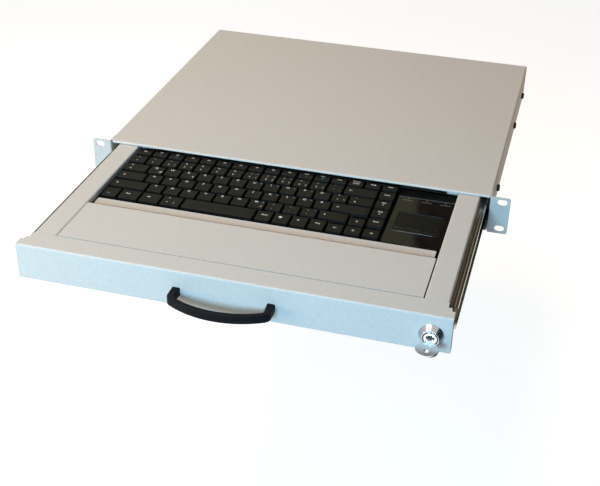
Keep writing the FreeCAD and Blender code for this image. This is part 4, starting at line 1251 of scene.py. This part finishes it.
def tube_faces(along: int, around: int) -> np.ndarray:
    """Quads of a closed section carried round a closed path.

    Args:
        along: points on the path.
        around: points in the section.

    Returns:
        Vertex numbers of the quads.
    """
    here, step = np.meshgrid(np.arange(along), np.arange(around), indexing="ij")
    after, following = (here + 1) % along, (step + 1) % around
    corners = [here * around + step, after * around + step, after * around + following,
               here * around + following]
    return np.stack(corners, axis=-1).reshape(-1, 4)


def soften(nodes: Iterable[str], width: float, turn_deg: float = 50.0, steps: int = 2,
           reach: float = 0.001 * MM) -> None:
    """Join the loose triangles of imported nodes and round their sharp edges, so that they catch the light.

    Args:
        nodes: node names.
        width: width of the rounding in metres.
        turn_deg: edges that turn by more than this are rounded.
        steps: faces across the rounding.
        reach: how near corners are that get joined, in metres.
    """
    for name in nodes:
        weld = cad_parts[name].modifiers.new("joined_triangles", "WELD")
        weld.merge_threshold = reach
        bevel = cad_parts[name].modifiers.new("soft_edges", "BEVEL")
        bevel.width = width
        bevel.segments = steps
        bevel.limit_method = "ANGLE"
        bevel.angle_limit = math.radians(turn_deg)
        bevel.harden_normals = False


@dataclass(frozen=True)
class Softbox:
    """A rectangular area lamp."""

    name: str
    place: Place
    target: Place
    size: tuple[float, float]
    watts: float
    color: Color

    def build(self) -> None:
        """Hang the lamp and turn it to its target."""
        lamp = bpy.data.lights.new(self.name, "AREA")
        lamp.shape = "RECTANGLE"
        lamp.size, lamp.size_y = self.size
        lamp.energy = self.watts
        lamp.color = self.color
        holder = bpy.data.objects.new(self.name, lamp)
        holder.location = self.place
        aim = Vector(self.target) - Vector(self.place)
        holder.rotation_euler = aim.to_track_quat("-Z", "Y").to_euler()
        holder.visible_camera = False
        bpy.context.scene.collection.objects.link(holder)
        LOG.info("hung %s", self.name)


class Facing(Enum):
    """Way that a card beside the set runs, as the direction of its long edge."""

    FRONT = (1.0, 0.0, 0.0)
    LEFT = (0.0, 1.0, 0.0)


def stand_sheet(name: str, corners: np.ndarray, material: Material, **seen: bool) -> None:
    """Stand one flat rectangle in the studio.

    Args:
        name: its name.
        corners: its four corners in order, in metres.
        material: its material.
        seen: which rays see it, by the names of the object's settings.
    """
    mesh = bpy.data.meshes.new(name)
    mesh.from_pydata(corners.tolist(), [], [range(len(corners))])
    mesh.materials.append(material)
    sheet = bpy.data.objects.new(name, mesh)
    for rays, visible in seen.items():
        setattr(sheet, rays, visible)
    bpy.context.scene.collection.objects.link(sheet)
    sheet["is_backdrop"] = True


@dataclass(frozen=True)
class Card:
    """A card beside the set that mirrors see, and that also lights the set where it is a reflector."""

    name: str
    middle: Place
    half: tuple[float, float]
    facing: Facing
    color: Color
    lights: bool = False
    mirrored: bool = True

    def build(self) -> None:
        """Stand the card up, across the set or along its side."""
        across = np.array(self.facing.value) * self.half[0]
        upward = np.array((0.0, 0.0, self.half[1]))
        corners = np.array(self.middle) + np.stack([-across - upward, across - upward, across + upward,
                                                    upward - across])
        surface = Surface(self.name)
        surface.shade({"Base Color": rgba(BLACK), "Specular IOR Level": 0.0,
                       "Emission Color": rgba(self.color), "Emission Strength": 1.0})
        stand_sheet(self.name, corners, surface.material, visible_camera=False, visible_diffuse=self.lights,
                    visible_glossy=self.mirrored, visible_shadow=False)


@dataclass
class Studio:
    """Camera, lamps and the plain white surroundings."""

    camera_place: Place = (0.2893, -1.04768, 0.58332)
    azimuth_deg: float = 14.945
    elevation_deg: float = 31.283
    roll_deg: float = 1.339
    lens_mm: float = 65.815
    sensor_mm: float = 36.0
    nearest: float = 0.05
    floor_drop: float = 0.30
    floor_half: float = 9.0
    floor_color: Color = (0.45, 0.45, 0.45)
    floor_roughness: float = 0.9
    floor_lift: float = 0.79
    world_strength: float = 0.05
    lamps: tuple[Softbox, ...] = (
        Softbox("warm_overhead", (-0.6, 0.06, 1.52), (0.0, 0.0, 0.0), (1.2, 1.2), 24.3, (1.0, 0.825, 0.68)),
        Softbox("cool_front", (-0.08, -1.8, 0.60), (0.0, -0.2, 0.0), (0.6, 0.4), 32.6,
                (0.365, 0.71, 0.985)),
        Softbox("warm_left", (-0.65, -0.71, 0.12), (-0.2, -0.2, 0.0), (0.4, 0.4), 3.2, (1.0, 0.81, 0.57)),
    )
    cards: tuple[Card, ...] = (
        Card("olive_card", (-2.079, 2.0, 1.6), (1.938, 1.6), Facing.FRONT, (0.37, 0.365, 0.235)),
        Card("brown_card", (1.359, 2.0, 1.6), (1.5, 1.6), Facing.FRONT, (0.06, 0.04, 0.033)),
        Card("right_flag", (0.52, -0.45, -0.02), (0.5, 0.3), Facing.LEFT, (0.04, 0.04, 0.045), True),
        Card("right_reflector", (0.52, 0.55, -0.02), (0.5, 0.3), Facing.LEFT, (0.40, 0.24, 0.08), True,
             False),
    )

    def build(self) -> None:
        """Set up everything that isn't part of the drawer."""
        self.place_camera()
        self.lay_floor()
        self.light_world()
        for lamp in self.lamps:
            lamp.build()
        for card in self.cards:
            card.build()
        bpy.context.scene.view_settings.view_transform = "Standard"

    def place_camera(self) -> None:
        """Stand the camera where the photograph was taken from."""
        data = bpy.data.cameras.new("photo_camera")
        data.sensor_width = self.sensor_mm
        data.lens = self.lens_mm
        data.clip_start = self.nearest
        camera = bpy.data.objects.new("photo_camera", data)
        camera.location = self.camera_place
        turn = Euler((math.radians(90.0 - self.elevation_deg), 0.0, math.radians(self.azimuth_deg)), "XYZ")
        roll = Euler((0.0, 0.0, math.radians(self.roll_deg)), "XYZ")
        camera.rotation_euler = (turn.to_matrix() @ roll.to_matrix()).to_euler()
        bpy.context.scene.collection.objects.link(camera)
        bpy.context.scene.camera = camera

    def lay_floor(self) -> None:
        """Lay a matte floor under the drawer, which keeps its shadow and is white where it is looked at."""
        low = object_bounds()[0][2] - self.floor_drop
        corners = np.array([(-1, -1, 0), (1, -1, 0), (1, 1, 0), (-1, 1, 0)]) * self.floor_half + (0, 0, low)
        surface = Surface("studio_white")
        surface.shade({"Base Color": rgba(self.floor_color), "Roughness": self.floor_roughness,
                       "Emission Color": rgba(WHITE),
                       "Emission Strength": surface.times(surface.looked_at(), self.floor_lift)})
        stand_sheet("studio_floor", corners, surface.material)

    def light_world(self) -> None:
        """Fill in light from all round, white where it is looked at."""
        world = bpy.data.worlds.new("studio_world")
        bpy.context.scene.world = world
        world.use_nodes = True
        graph = Graph(world.node_tree)
        strength = graph.spread(graph.looked_at(), 0.0, 1.0, self.world_strength, 1.0)
        graph.feed(world.node_tree.nodes["Background"], {"Color": rgba(WHITE), "Strength": strength})


def write_sizes() -> None:
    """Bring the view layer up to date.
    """
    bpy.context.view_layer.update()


def main() -> None:
    """Dress and build the drawer, then set the stage."""
    logging.basicConfig(level=logging.INFO, format="%(message)s")
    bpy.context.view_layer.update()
    palette = Palette(EffectLibrary())
    lock, keyboard = Lock(), Keyboard()
    for assembly in (Housing(), Slides(), Drawer(), lock, keyboard):
        assembly.dress(palette)
    lock.build(palette)
    keyboard.build(palette)
    Studio().build()
    write_sizes()


if __name__ == "__main__":
    main()
